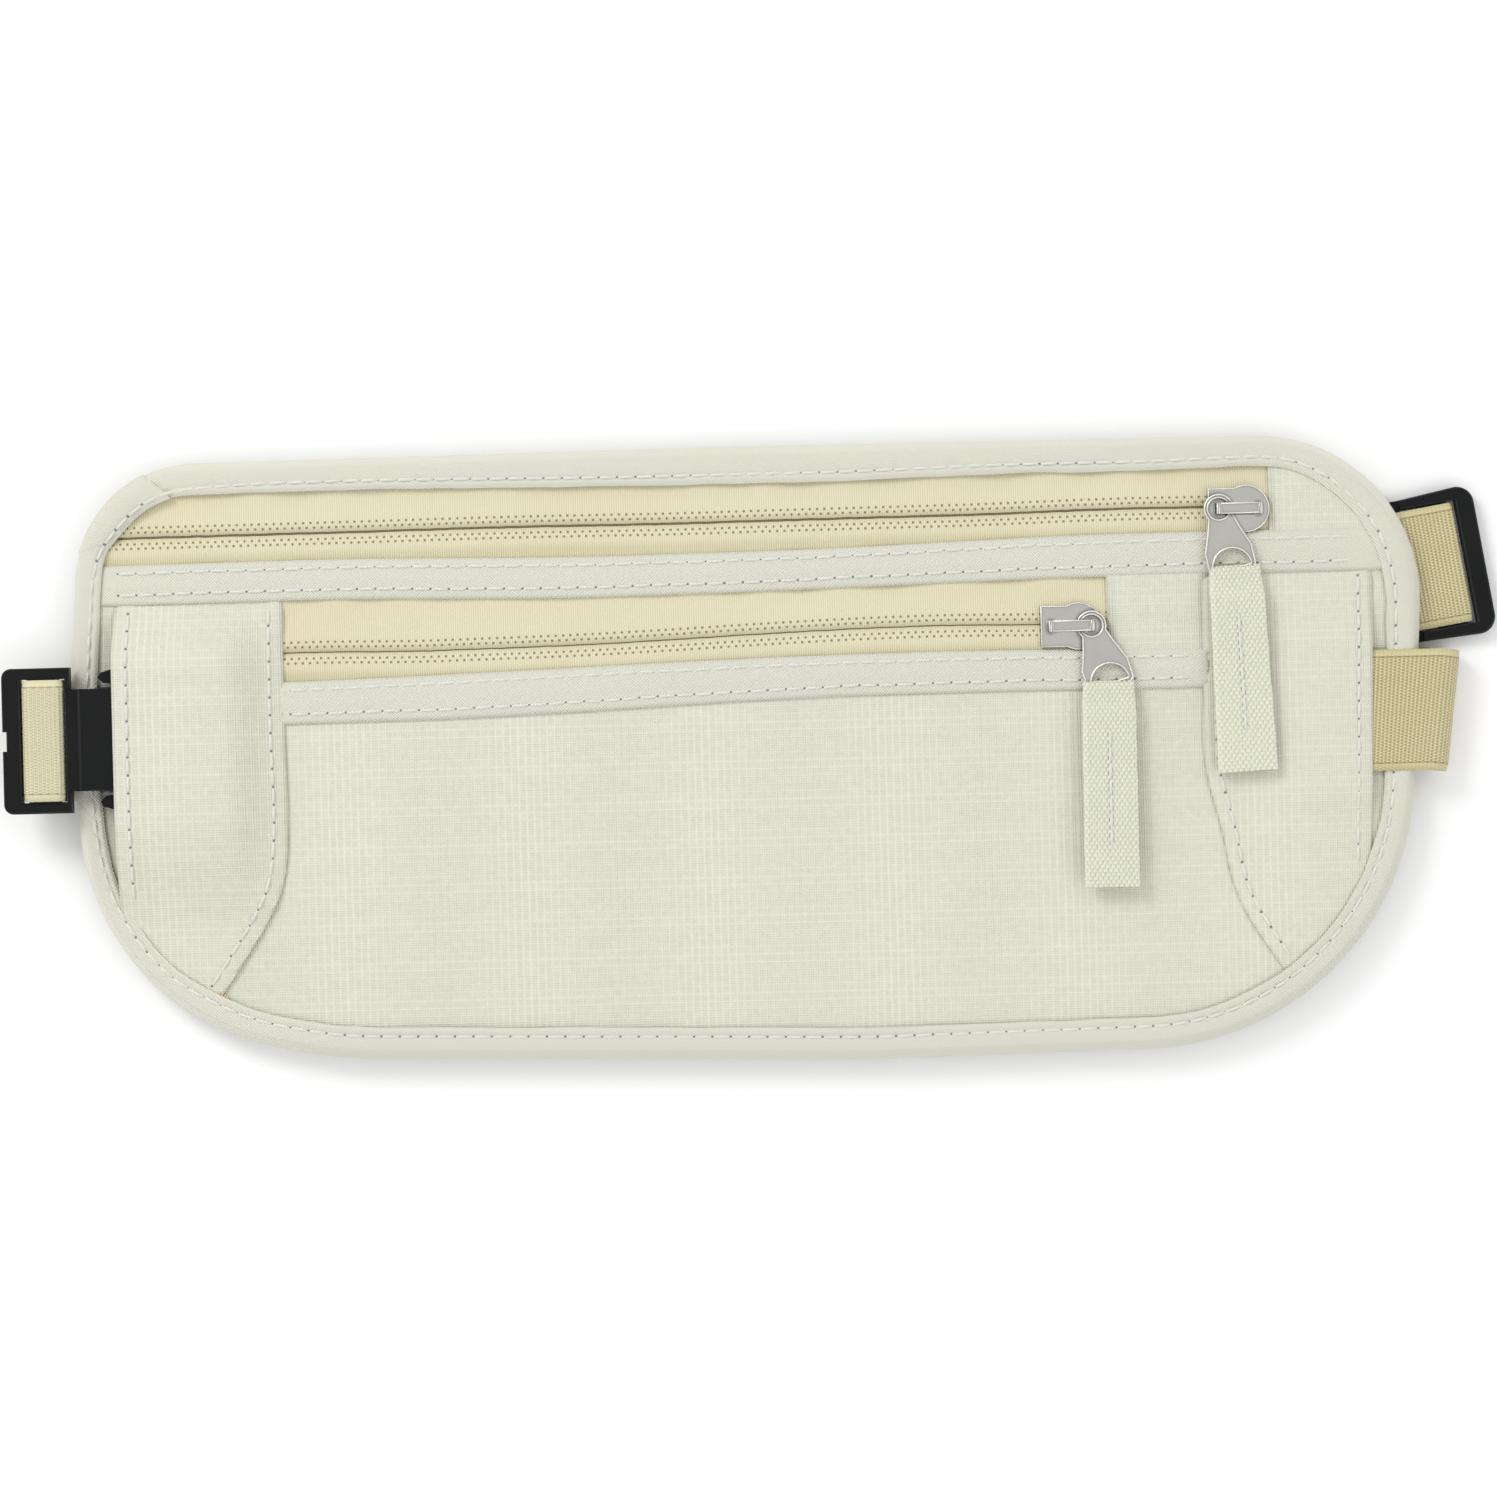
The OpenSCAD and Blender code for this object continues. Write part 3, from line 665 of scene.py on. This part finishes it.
for name, node, x0, x1, y0, y1, level, line in (
        ("upper_tape_high", "upper_tape_top", LEFT, UPPER_END + 8, UPPER_LINE + 0.24, TOP,
         UPPER_LINE, upper_line),
        ("upper_tape_low", "upper_tape_bottom", LEFT, UPPER_END + 8, STRIP_1[1] - 6.5,
         UPPER_LINE - 0.24, UPPER_LINE, upper_line),
        ("lower_tape_high", "lower_tape_top", WING_L[1].x - 2, LOWER_END + 8, LOWER_LINE + 0.13,
         STRIP_1[0] + 3.5, LOWER_LINE, lower_line),
        ("lower_tape_low", "lower_tape_bottom", WING_L[1].x - 2, LOWER_END + 8, STRIP_2[1] - 6.5,
         LOWER_LINE - 0.13, LOWER_LINE, lower_line)):
    make_tape(name, node, x0, x1, y0, y1, level, line)
for name, line, x0, x1 in (("upper_teeth", upper_line, LEFT + 6, UPPER_END),
                           ("lower_teeth", lower_line, WING_L[1].x - 1, LOWER_END)):
    places = [x0 + (x1 - x0) * k / 300 for k in range(301)]
    rows = [[(Vector((x, line(x) + w, front_z(x, line(x)) - 0.45)), UP) for w in (-0.8, 0, 0.8)]
            for x in places]
    ribbon(name, rows, TEETH, "pouch", slot="zip_coil", thick=0.4)
for coil in ("upper_coil_top", "upper_coil_bottom", "lower_coil_top", "lower_coil_bottom"):
    dress(coil, COIL)
dress("rfid_lining", LINING)
dress("pocket_divider", DIVIDER)


def patch_z(x, y):
    return front_z(x, y) + 0.5


for name, x0, x1, y0, y1 in (
        ("upper_end_cloth", UPPER_END, RIGHT, STRIP_1[1] - 2, TOP),
        ("lower_end_cloth", LOWER_END, WING_R[0].x + 2, STRIP_2[1] - 2, STRIP_1[0] + 2)):
    patch_edge = clip(outline(2.0), x0, x1, y0, y1)
    patch = cloth(name, patch_edge, patch_z, RIPSTOP, [name.replace("cloth", "patch")])

# ---------------------------------------- bound edges and strips


def strip_z(strip):
    def height(x, y):
        low, high = trim_low(x, strip), trim_high(x, strip)
        edge = min(y - low, high - y)
        seam = min(abs(y - (low + 2.1)), abs(y - (high - 1.7)))
        sewn = 0.2 * (1 - smooth(0, 0.9, seam)) * (1.2 + 0.5 * sin(2 * pi * x / STITCH))
        return front_z(x, y) + 0.1 + (0.25 + 0.5 * smooth(-0.2, 0.6, edge) - sewn) * clear_of_rim(x, y)
    return height


def make_strip(name, x0, x1, strip, node):
    """A folded strip of twill sewn down along both edges."""
    edge = clip(outline(4), x0, x1, strip[0], strip[1])

    def warp(x, y):
        part = (y - strip[0]) / (strip[1] - strip[0])
        return trim_low(x, strip) * (1 - part) + trim_high(x, strip) * part

    obj = cloth(name, edge, strip_z(strip), TWILL, [node], step=0.95, thick=0.6, warp=warp)
    low = max(x0 + 2.5, LEFT + 7)
    high = min(x1 - 2.5, RIGHT - 8)
    count = int((high - low) / 4)
    xs = [low + (high - low) * k / count for k in range(count + 1)]
    rows = []
    for line, inset in ((trim_low, 2.1), (trim_high, -1.7)):
        row = [Vector((x, line(x, strip) + inset + 0.18 * ripple(x, inset, 6.3, 9))) for x in xs]
        rows.append([p for p in row if inside(p, inner_border)])
    stitches(name + "_thread", rows, strip_z(strip))


inner_border = [p - n * (bind_w(p.x, p.y) + 0.8) for p, n in rim()]
make_strip("upper_trim_cloth", LEFT, RIGHT, STRIP_1, "upper_trim_strip")
make_strip("lower_trim_cloth", WING_L[1].x - 1.5, WING_R[0].x + 1.5, STRIP_2, "lower_trim_strip")


def binding_z(inset):
    """Height of the top of the binding at a distance in from its edge, for its full width."""
    roll = FRONT_Z + 0.15 - 2.3 * (1 - smooth(-0.4, 2.6, inset)) ** 1.5
    lip = 0.5 * smooth(0, 0.9, BINDING_W - inset) - 0.45
    seam = 0.26 * (1 - smooth(0, 0.9, abs(inset - BINDING_SEAM)))
    return roll + lip + 0.35 - seam


def lap_lift(x, y):
    """How far the lapped end raises the stitches."""
    along = (Vector((x, y)) - Vector(LAP_AT)).length
    return LAP_RISE * (1 - smooth(6, 26, along)) * smooth(LAP_AT[0] + 0.6, LAP_AT[0], x)


def binding_wave(x, y):
    return 0.22 * ripple(x, y, 9.2, 21)


def make_lap():
    """The end of the binding tape, cut on a slant and lapped over its beginning."""
    ring = rim(0.4)
    first = min(range(len(ring)), key=lambda i: (ring[i][0] - Vector(LAP_AT)).length)
    insets = [7.75, 7.6, 7.25, 6.6, 5.6, 4.6, 3.6, 2.6, 1.6, 0.9, 0.4, -0.15]
    m, n = len(insets), 60
    top, low = [], []
    for i in range(n + 1):
        for inset in insets:
            slant = LAP_SLANT * (BINDING_W - inset) / BINDING_W
            p, normal = ring[(first + round(slant + i * 0.9)) % len(ring)]
            wide = bind_w(p.x, p.y) / BINDING_W
            at = p - normal * inset * wide
            lift = LAP_RISE * (1 - i / n) + 0.02
            z = binding_z(max(inset, 0)) + binding_wave(p.x, p.y)
            top.append((at.x, at.y, z + lift))
            low.append((at.x, at.y, z - 0.2))
    return build("binding_lap", top + low, slab(n + 1, m), TWILL, slot="twill")


def make_binding():
    """The twill tape folded round the pouch's edge, swept along the outline."""
    ring = rim(1.3)
    tops = [7.6, 7.5, 7.25, 6.8, 6.3, 5.9, 5.6, 5.2, 4.6, 3.8, 2.8, 1.9, 1.1, 0.5, 0.2]
    profile = [(i, binding_z(i)) for i in tops] + [(0, 5.2)]
    profile += [(0.15, 4.5), (0.5, 3.9), (1.2, 3.4), (2.4, 3.15), (4.5, 3.1), (7.2, 3.12), (7.6, 3.3)]
    inner = [(7.6, 3.7), (4, 3.6), (1.4, 4.1), (0.7, 5.0), (1.5, 6.1), (4, 6.8), (7.6, 7.0)]
    loop = profile + inner
    n, m = len(ring), len(loop)
    verts = []
    for i, (p, normal) in enumerate(ring):
        wide = bind_w(p.x, p.y) / BINDING_W
        wave = binding_wave(p.x, p.y)
        pull = 0.12 * sin(2 * pi * i * 1.3 / STITCH)
        for inset, z in loop:
            near = 1 - smooth(0, 2.0, abs(inset - BINDING_SEAM))
            top = smooth(4.6, 6.2, z)
            edge = 0.2 * ripple(p.x, p.y, 4.4, 7) if inset > 7 else 0
            at = p - normal * (inset * wide + edge)
            verts.append((at.x, at.y, z + (wave + pull * near) * top))
    faces = [[i * m + j, i * m + (j + 1) % m, (i + 1) % n * m + (j + 1) % m, (i + 1) % n * m + j]
             for i in range(n) for j in range(m)]
    tape = build("binding_tape", verts, faces, TWILL, nodes=["edge_binding"], slot="twill")
    around = sum(dist(loop[j - 1], loop[j]) for j in range(m))
    make_lap()
    seam_in = BINDING_W - BINDING_SEAM
    row = [p - normal * (bind_w(p.x, p.y) - seam_in + 0.7 * smooth(-100, -118, p.x) * smooth(35, 50, p.y))
           for p, normal in ring]
    level = binding_z(BINDING_SEAM)
    stitches("binding_thread", [row],
             lambda x, y: level + binding_wave(x, y) + lap_lift(x, y), closed=True)


make_binding()

# ---------------------------------------- wings


def distance(p, line):
    """Distance from a point to a bent line."""
    best = 1e9
    for a, b in zip(line, line[1:]):
        ab = (b[0] - a[0], b[1] - a[1])
        f = ((p[0] - a[0]) * ab[0] + (p[1] - a[1]) * ab[1]) / (ab[0] ** 2 + ab[1] ** 2)
        f = min(max(f, 0), 1)
        best = min(best, hypot(p[0] - a[0] - ab[0] * f, p[1] - a[1] - ab[1] * f))
    return best


def hem(d):
    """A folded hem: a raised band along the edge with its stitch line pressed in."""
    return 0.32 * smooth(0, 0.7, d) * (1 - smooth(3.4, 4.2, d)) - 0.12 * (1 - smooth(0, 0.7, abs(d - 2.9)))


def tuck(x, y):
    """How far a wing's upper end goes down under the strip that is sewn over it."""
    low = trim_low(x, STRIP_1)
    return 0.75 * smooth(low - 1.6, low + 0.1, y)


def left_wing_z(x, y):
    bulge_x = smooth(WING_L[1].x - 0.4, WING_L[1].x - 12.4, x)
    bulge_y = smooth(34, 21, y) * smooth(-38, -9, y)
    over = BUCKLE[1].z + 0.5 - front_z(x, y) - 0.5
    d = min(distance((x, y), LEFT_WING), distance((x, y), LEFT_OPEN))
    slack = 0.5 * ripple(x, y, 12.5, 15) * bulge_x
    low = 0.15 + (0.4 + hem(d)) * max(clear_of_rim(x, y), bulge_y)
    return front_z(x, y) + low + over * bulge_x * bulge_y + slack * (1 - bulge_y * 0.7) - tuck(x, y)


def right_wing_z(x, y):
    bulge = smooth(106, 114, x) * smooth(29, 19, y) * smooth(-19, -8, y)
    d = min(distance((x, y), RIGHT_WING), distance((x, y), RIGHT_OPEN))
    slack = 0.45 * ripple(x, y, 14.5, 15)
    low = 0.15 + (0.4 + hem(d)) * max(clear_of_rim(x, y), bulge)
    return front_z(x, y) + low + 1.3 * bulge + slack * 0.6 * clear_of_rim(x, y) - tuck(x, y)


LEFT_WING = LEFT_WING_EDGE + [(WING_L[1].x - 0.3, 10), (WING_L[1].x - 0.1, STRIP_1[0] + 1.5)]
LEFT_OPEN = [(WING_L[0].x, STRIP_1[0] + 1.5), (WING_L[0].x, -60)]
RIGHT_WING = [(WING_R[0].x + 0.5, STRIP_1[0] + 1.5), (WING_R[0].x + 0.2, 15)] + RIGHT_WING_EDGE
RIGHT_OPEN = [(WING_R[1].x, STRIP_1[0] + 1.5), (WING_R[1].x - 1.5, -27), (WING_R[1].x - 1.5, -60)]


def curve(points, n=8):
    """A rounded line through points: each stretch is a Catmull-Rom piece of n steps."""
    pts = [Vector(p) for p in points]
    out = []
    for i in range(len(pts) - 1):
        a, b = pts[max(i - 1, 0)], pts[i]
        c, d = pts[i + 1], pts[min(i + 2, len(pts) - 1)]
        for k in range(n):
            t = k / n
            out.append(0.5 * (2 * b + (c - a) * t + (2 * a - 5 * b + 4 * c - d) * t * t
                              + (3 * b - a - 3 * c + d) * t ** 3))
    return out + [pts[-1]]


def make_wing(name, sewn, open_edge, height, node, low_x, high_x):
    """A wing between its sewn edge, its open edge and the binding."""
    border = outline(3.5, 2)
    sewn_line = curve(sewn)
    corner = [p for p in border if p.y < -25 and low_x <= p.x <= high_x]
    corner.sort(key=lambda p: p.x)
    if node == "left_wing":
        edge = [Vector(open_edge[0])] + corner + [p for p in sewn_line if inside(p, border)]
        edge[1] = Vector((open_edge[0][0], edge[1].y))
    else:
        edge = [p for p in sewn_line if inside(p, border)] + corner
        edge += [Vector(open_edge[1]), Vector(open_edge[0])]
    obj = cloth(name, edge, height, RIPSTOP, [node], step=1.5, thick=0.45)
    return edge


make_wing("left_wing_cloth", LEFT_WING, LEFT_OPEN, left_wing_z, "left_wing",
          WING_L[0].x, LEFT_WING[0][0] - 0.5)
make_wing("right_wing_cloth", RIGHT_WING, RIGHT_OPEN, right_wing_z, "right_wing",
          RIGHT_WING[-1][0] - 4, WING_R[1].x - 1.5)


def beside(line, gap):
    """The line moved sideways, to the left of its direction."""
    pts = [Vector(p) for p in line]
    out = []
    for i, p in enumerate(pts):
        d = (pts[min(i + 1, len(pts) - 1)] - pts[max(i - 1, 0)]).normalized()
        out.append(p + Vector((-d.y, d.x)) * gap)
    return out


def resample(points, step=1.5):
    pts = [Vector(p) for p in points]
    return [p.lerp(q, k / max(round((q - p).length / step), 1))
            for p, q in zip(pts, pts[1:]) for k in range(max(round((q - p).length / step), 1))]


for tag, line, gap, height in (
        ("left_sewn", curve(LEFT_WING), 2.9, left_wing_z), ("left_open", LEFT_OPEN, 3.0, left_wing_z),
        ("right_sewn", curve(RIGHT_WING), 2.7, right_wing_z),
        ("right_open", RIGHT_OPEN, -2.9, right_wing_z)):
    row = [p for p in resample(beside(line, gap))
           if inside(p, inner_border) and p.y < trim_low(p.x, STRIP_1) - 0.6]
    stitches("wing_thread_" + tag, [row], height, pitch=3.7)
tack_rows = [[Vector((-112.4 + 0.5 * k, -48 - 0.3 * k)), Vector((-111.2 + 0.5 * k, -46.3 - 0.3 * k))]
             for k in range(4)]
stitches("wing_tack", tack_rows, left_wing_z, thread_r=0.22, pitch=1.9, holes=False, material=TACK)

# ---------------------------------------- belt

ACROSS = 14
RUN_X0 = -139.0
RUN_X1 = 143.6
RUN_Z = STRAP_T / 2
TAIL_Z = 2.5
FOLD_TOP = span("belt_fold")[1]
FOLD_R = FOLD_TOP.z / 2 - RUN_Z
FOLD_TILT = radians(7.4)
FRONT_LOW, FRONT_HIGH = span("belt_front")
BUCKLE_Y = (STRAP[0].y + STRAP[1].y) / 2


def run_mid(u):
    """Y of the middle of the belt's back length, which leans up behind the pouch."""
    return BUCKLE_Y + 54 * u * u * (1 - u) - 0.75 * u + 1.8 * smooth(0.96, 0.9, u) * smooth(0.3, 0.6, u)


def widths():
    return [STRAP_W * (j / ACROSS - 0.5) for j in range(ACROSS + 1)]


def make_run():
    mid = (FRONT_LOW.y + FRONT_HIGH.y) / 2
    axis_x = FOLD_TOP.x - FOLD_R - RUN_Z
    fold_x = [axis_x - (STRAP_W / 2 - w) * tan(FOLD_TILT) for w in widths()]
    top_z = 2 * FOLD_R + RUN_Z
    rows = []
    for k in range(9):
        t = k / 8
        rows.append([(Vector((FRONT_LOW.x + (fx - FRONT_LOW.x) * t, mid + w, top_z)), UP)
                     for fx, w in zip(fold_x, widths())])
    for k in range(1, 12):
        a = pi / 2 - pi * k / 12
        out = Vector((cos(a) * cos(FOLD_TILT), -cos(a) * sin(FOLD_TILT), sin(a)))
        rows.append([(Vector((fx, mid + w, FOLD_R + RUN_Z)) + out * FOLD_R, out)
                     for fx, w in zip(fold_x, widths())])
    rows.append([(Vector((fx, mid + w, RUN_Z)), -UP) for fx, w in zip(fold_x, widths())])
    for k in range(60):
        u = 0.955 * (1 - k / 59)
        rows.append([(Vector((RUN_X0 + (RUN_X1 - RUN_X0) * u, run_mid(u) + w, RUN_Z)), -UP)
                     for w in widths()])
    run = ribbon("belt_main", rows, ELASTIC, None, ["belt_front", "belt_fold", "belt_run"])
    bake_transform(run)


def path_rows(points, mid_y):
    """Rows across a strap that bends in the XZ plane, from its middle line."""
    rows = []
    for i, (x, z) in enumerate(points):
        a = points[max(i - 1, 0)]
        b = points[min(i + 1, len(points) - 1)]
        d = Vector((b[0] - a[0], 0, b[1] - a[1])).normalized()
        up = Vector((-d.z, 0, d.x))
        rows.append([(Vector((x, mid_y + w, z)), up) for w in widths()])
    return rows


def turn(cx, cz, r, a0, a1, n=7):
    return [(cx + r * cos(radians(a0 + (a1 - a0) * k / n)),
             cz + r * sin(radians(a0 + (a1 - a0) * k / n))) for k in range(n + 1)]


def make_bar_loop():
    bar_l = BUCKLE[0].x + 5.2
    bar_r = BUCKLE[0].x + 11.6
    top = BUCKLE[0].z + 4.2 + 0.75
    points = [(RUN_X0, RUN_Z), (bar_l + 2.5, RUN_Z + 0.1)]
    points += turn(bar_l + 0.7, RUN_Z + 2.0, 1.6, 260, 180)
    points += [(bar_l - 0.75, 4.5), (bar_l - 0.7, 9.0)]
    points += turn(bar_l + 0.9, top - 1.6, 1.6, 180, 95)
    points += turn(bar_r - 0.9, top - 1.6, 1.6, 85, 0)
    points += [(bar_r + 0.75, 8.6), (bar_r + 0.65, 5.0)]
    points += turn(bar_r + 1.75, TAIL_Z + 1.2, 1.2, 180, 265)
    points += [(RUN_X0, TAIL_Z)]
    ribbon("belt_over_bar", path_rows(points, BUCKLE_Y), ELASTIC_FAINT_SHADE, "socket", ["belt_bar_loop"])


SLIDE_AT = Vector((148.6, 36.2, 0))
TAIL_ANGLE = radians(9.3)
TAIL_CUT = 34.2


def tail_point(u):
    end = SLIDE_AT - Vector((cos(TAIL_ANGLE), sin(TAIL_ANGLE), 0)) * TAIL_CUT
    run = end.x - RUN_X0
    rise = end.y - BUCKLE_Y
    slope = run * tan(TAIL_ANGLE)
    y = BUCKLE_Y + (2 * rise - slope) * u + (slope - rise) * u * u
    d = Vector((run, 2 * rise - slope + 2 * (slope - rise) * u, 0)).normalized()
    return Vector((RUN_X0 + run * u, y, TAIL_Z)), Vector((-d.y, d.x, 0))


def make_tail():
    split = 0.5
    for name, u0, u1, body, nodes in (
            ("belt_tail_left", 0.0, split, "socket", ["belt_tail"]),
            ("belt_tail_right", split, 1.01, "tail", ())):
        rows = []
        for k in range(40):
            p, side = tail_point(u0 + (u1 - u0) * k / 39)
            rows.append([(p + side * w, UP) for w in widths()])
        strap = ribbon(name, rows, ELASTIC, None, nodes)
        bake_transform(strap)
    under = TAIL_Z - 0.06
    local = [(-TAIL_CUT + 3 * k, under) for k in range(11)]
    local += turn(-1.45, 1.5, 1.0, 90, -90, 10)
    local += [(-6, 0.5), (-14.9, 0.5), (-17, 0.8), (-19, 1.48), (-28, 1.5)]
    turned = Matrix.Translation(SLIDE_AT) @ Matrix.Rotation(TAIL_ANGLE, 4, "Z")
    spun = turned.to_3x3()
    rows = [[(turned @ p, spun @ up) for p, up in row] for row in path_rows(local, 0)]
    ribbon("belt_tail_fold", rows, ELASTIC, "tail", ["belt_tail_end"])


make_run()
make_bar_loop()
make_tail()

anchor_x = BUCKLE[0].x + 45
anchor = [(-101.9, 7.5), (-103.9, 7.5), (-106.4, 8.75)]
anchor += turn(anchor_x, 10.3, 1.55, 270, 90)
anchor += [(-106.6, 11.85), (-103.4, 8.5), (-101.9, 8.45)]
ribbon("buckle_anchor_strap", path_rows(anchor, BUCKLE_Y), ELASTIC, "pouch", ["buckle_anchor"])

# ---------------------------------------- hardware


def make_beads(node, body, radius, material):
    """A fine raised bead along the edges of a hard part's flat faces."""
    obj = NODES[node]
    grid = {}
    for poly in obj.data.polygons:
        if (obj.matrix_world.to_3x3() @ poly.normal).normalized().z < 0.97:
            continue
        spots = [obj.matrix_world @ obj.data.vertices[v].co / MM for v in poly.vertices]
        keys = [tuple(round(c, 2) for c in spot) for spot in spots]
        for a, b in zip(keys, keys[1:] + keys[:1]):
            if a != b:
                grid[(a, b)] = True
    border = {a: b for a, b in grid if (b, a) not in grid}
    verts, faces = [], []
    while border:
        start = next(iter(border))
        loop = [start]
        while loop[-1] in border:
            loop.append(border.pop(loop[-1]))
            if loop[-1] == start:
                break
        points = [Vector(p) for p in loop[:-1]]
        n = len(points)
        if loop[-1] != start or n < 4:
            continue
        base = len(verts)
        for i, p in enumerate(points):
            along = (points[(i + 1) % n] - points[i - 1]).normalized()
            side = Vector((-along.y, along.x, 0))
            for k in range(8):
                a = pi / 4 * k
                verts.append(p + side * (radius * (1 + cos(a))) + UP * (radius * 0.8 * sin(a)))
        for i in range(n):
            for k in range(8):
                a, b = base + i * 8 + k, base + i * 8 + (k + 1) % 8
                c, d = base + (i + 1) % n * 8 + (k + 1) % 8, base + (i + 1) % n * 8 + k
                faces.append([a, b, c, d])
    build(node + "_rim", verts, faces, material, body)


# Raised beads along each part's edges: on plastic they take the lighter copy, a painted highlight; on
# nickel they are only rougher.
for node, body, rounding, bead, material, rim_material in (
        ("upper_slider", "upper_slide", 0.28, 0.16, NICKEL, NICKEL_RIM),
        ("lower_slider", "lower_slide", 0.28, 0.16, NICKEL, NICKEL_RIM),
        ("upper_puller", "upper_pull", 0.28, 0.2, NICKEL, NICKEL_RIM),
        ("lower_puller", "lower_pull", 0.28, 0.2, NICKEL, NICKEL_RIM),
        ("tri_glide", "tail", 0.4, 0.25, PLASTIC, PLASTIC_RIM_HIGHLIGHT),
        ("buckle_female", "socket", 0.35, 0.2, PLASTIC, PLASTIC_RIM_HIGHLIGHT)):
    dress(node, material, rounding)
    make_beads(node, body, bead, rim_material)
for node in ("buckle_male", "buckle_arm_a", "buckle_arm_b"):
    dress(node, PLASTIC, 0.35)

# ---------------------------------------- pull tabs

TAB_W = 10.9
TAB_LEN = 41.4
TAB_TOP = -1.2
REACH = 13.2


def make_tab(name, pivot, lean, hang, body, node, seed, shift, flare):
    """A folded webbing tab on a puller's end bar, woven in relief: it widens by flare to its end."""
    mid_z = span(node.replace("pull_tab", "puller"))[0].z + 0.45
    turn_puller = Matrix.Translation((pivot[0], pivot[1], 0)) @ Matrix.Rotation(lean, 4, "Z")
    turn_tab = turn_puller @ Matrix.Translation((0, -REACH, 0)) @ Matrix.Rotation(hang - lean, 4, "Z")
    nx, ns = 80, 250
    verts, uv = [], []

    def shape(s, w, side):
        neck = 1 - smooth(0.6, 4.0, s)
        wide = TAB_W * (1 - 0.04 * neck) + flare * s / TAB_LEN
        loop = 0.13 * sin(pi * s / TAB_ROW) * smooth(0.4, 0.5, abs(w))
        x = shift + w * wide + 0.12 * ripple(s, w, seed + side, 3) + copysign(loop, w)
        bend = 1.05 + 0.35 * sin(s / 13 + seed) + 0.2 * ripple(s, w * 8, seed, 9)
        over = sin(pi * s / TAB_ROW) * sin(pi * w * TAB_W / TAB_COLUMN)
        weave = (0.16 + 0.08 * side) * copysign(abs(over) ** 0.6, over)
        edge = min(1, (0.5 - abs(w)) * 14)
        half = (0.62 + 0.38 * neck) * sqrt(min(1, (s - TAB_TOP) / 1.3 + 0.02))
        z = mid_z + 0.1 + bend * smooth(0.5, 6, s) + side * (half * (0.35 + 0.65 * edge)) + weave * edge
        seam = 1 - smooth(0.0, 1.0, abs(w * wide))
        z -= side * 0.18 * seam * smooth(7, 9, s) * (1 - smooth(33, 36, s))
        return x, -s, z

    for side in (1, -1):
        for i in range(ns + 1):
            s = TAB_LEN * i / ns + TAB_TOP * (1 - i / ns)
            for j in range(nx + 1):
                w = j / nx - 0.5
                x, y, z = shape(s, w, side)
                verts.append(turn_tab @ Vector((x, y, z)))
                uv.append((s, w * TAB_W))
    tab = build(name, verts, slab(ns + 1, nx + 1), WEBBING, body, [node], "tab_webbing", uv)
    seam_row = [turn_tab @ Vector((shift, -s, 0)) for s in (9, 15, 21, 27, 33)]

    def tab_top(x, y):
        local = turn_tab.inverted() @ Vector((x, y, 0))
        return shape(-local.y, (local.x - shift) / TAB_W, 1)[2] + 0.12

    stitches(name + "_thread", [seam_row], tab_top, body, 0.3, 3.4, holes=False)


UPPER_PIVOT = (span("upper_slider")[0].x + 2, UPPER_LINE)
LOWER_PIVOT = (span("lower_slider")[0].x + 10.4, LOWER_LINE)
make_tab("upper_tab_cloth", UPPER_PIVOT, radians(12), radians(2.3), "upper_tab",
         "upper_pull_tab", 1.3, 0.3, 1.3)
make_tab("lower_tab_cloth", LOWER_PIVOT, radians(17), radians(-0.5), "lower_tab",
         "lower_pull_tab", 4.6, -0.65, 0.3)

# ---------------------------------------- stage, light and camera

CAMERA_REACH = 0.86
PHOTO_ROLL = 1.45


def make_floor():
    g = Graph("floor_paper", 0.9)
    g.colour(g.blend(g.noise(3, 2), (0.93, 0.93, 0.93), (0.95, 0.95, 0.95)))
    bpy.ops.mesh.primitive_plane_add(size=6, location=(0, 0, -0.0002))
    floor = bpy.context.object
    floor.name = "floor"
    floor.data.materials.append(g.mat)


def area_light(name, place, target, size, power):
    data = bpy.data.lights.new(name, "AREA")
    data.shape = "DISK"
    data.size = size
    data.energy = power
    lamp = bpy.data.objects.new(name, data)
    lamp.location = place
    lamp.rotation_euler = (Vector(target) - Vector(place)).to_track_quat("-Z", "Y").to_euler()
    bpy.context.scene.collection.objects.link(lamp)


def make_light():
    world = bpy.data.worlds.new("soft_sky")
    world.use_nodes = True
    nodes, links = world.node_tree.nodes, world.node_tree.links
    coord = nodes.new("ShaderNodeTexCoord")
    split = nodes.new("ShaderNodeSeparateXYZ")
    ramp = nodes.new("ShaderNodeValToRGB")
    links.new(coord.outputs["Generated"], split.inputs[0])
    links.new(split.outputs[2], ramp.inputs[0])
    links.new(ramp.outputs[0], nodes["Background"].inputs[0])
    ramp.color_ramp.elements[0].position = 0.05
    ramp.color_ramp.elements[0].color = (0.45, 0.45, 0.46, 1)
    ramp.color_ramp.elements[1].position = 0.35
    ramp.color_ramp.elements[1].color = (1, 1, 1, 1)
    for position, level in ((0.93, 1.0), (0.985, 0.6)):
        stop = ramp.color_ramp.elements.new(position)
        stop.color = (level, level, level, 1)
    nodes["Background"].inputs[1].default_value = 0.92
    bpy.context.scene.world = world
    area_light("key", (-0.7, 0.75, 0.9), (0, 0, 0), 0.5, 6)
    area_light("fill", (0.9, -0.5, 1.1), (0, 0, 0), 0.9, 2.5)


def make_camera():
    data = bpy.data.cameras.new("camera")
    data.lens = 100
    data.sensor_width = 36
    data.clip_start = 0.01
    cam = bpy.data.objects.new("camera", data)
    cam.location = (-0.001, 0.001, CAMERA_REACH + FRONT_Z * MM)
    cam.rotation_euler = (0, 0, -radians(PHOTO_ROLL))
    bpy.context.scene.collection.objects.link(cam)
    bpy.context.scene.camera = cam


make_floor()
make_light()
make_camera()
bpy.context.scene.view_settings.view_transform = "Standard"
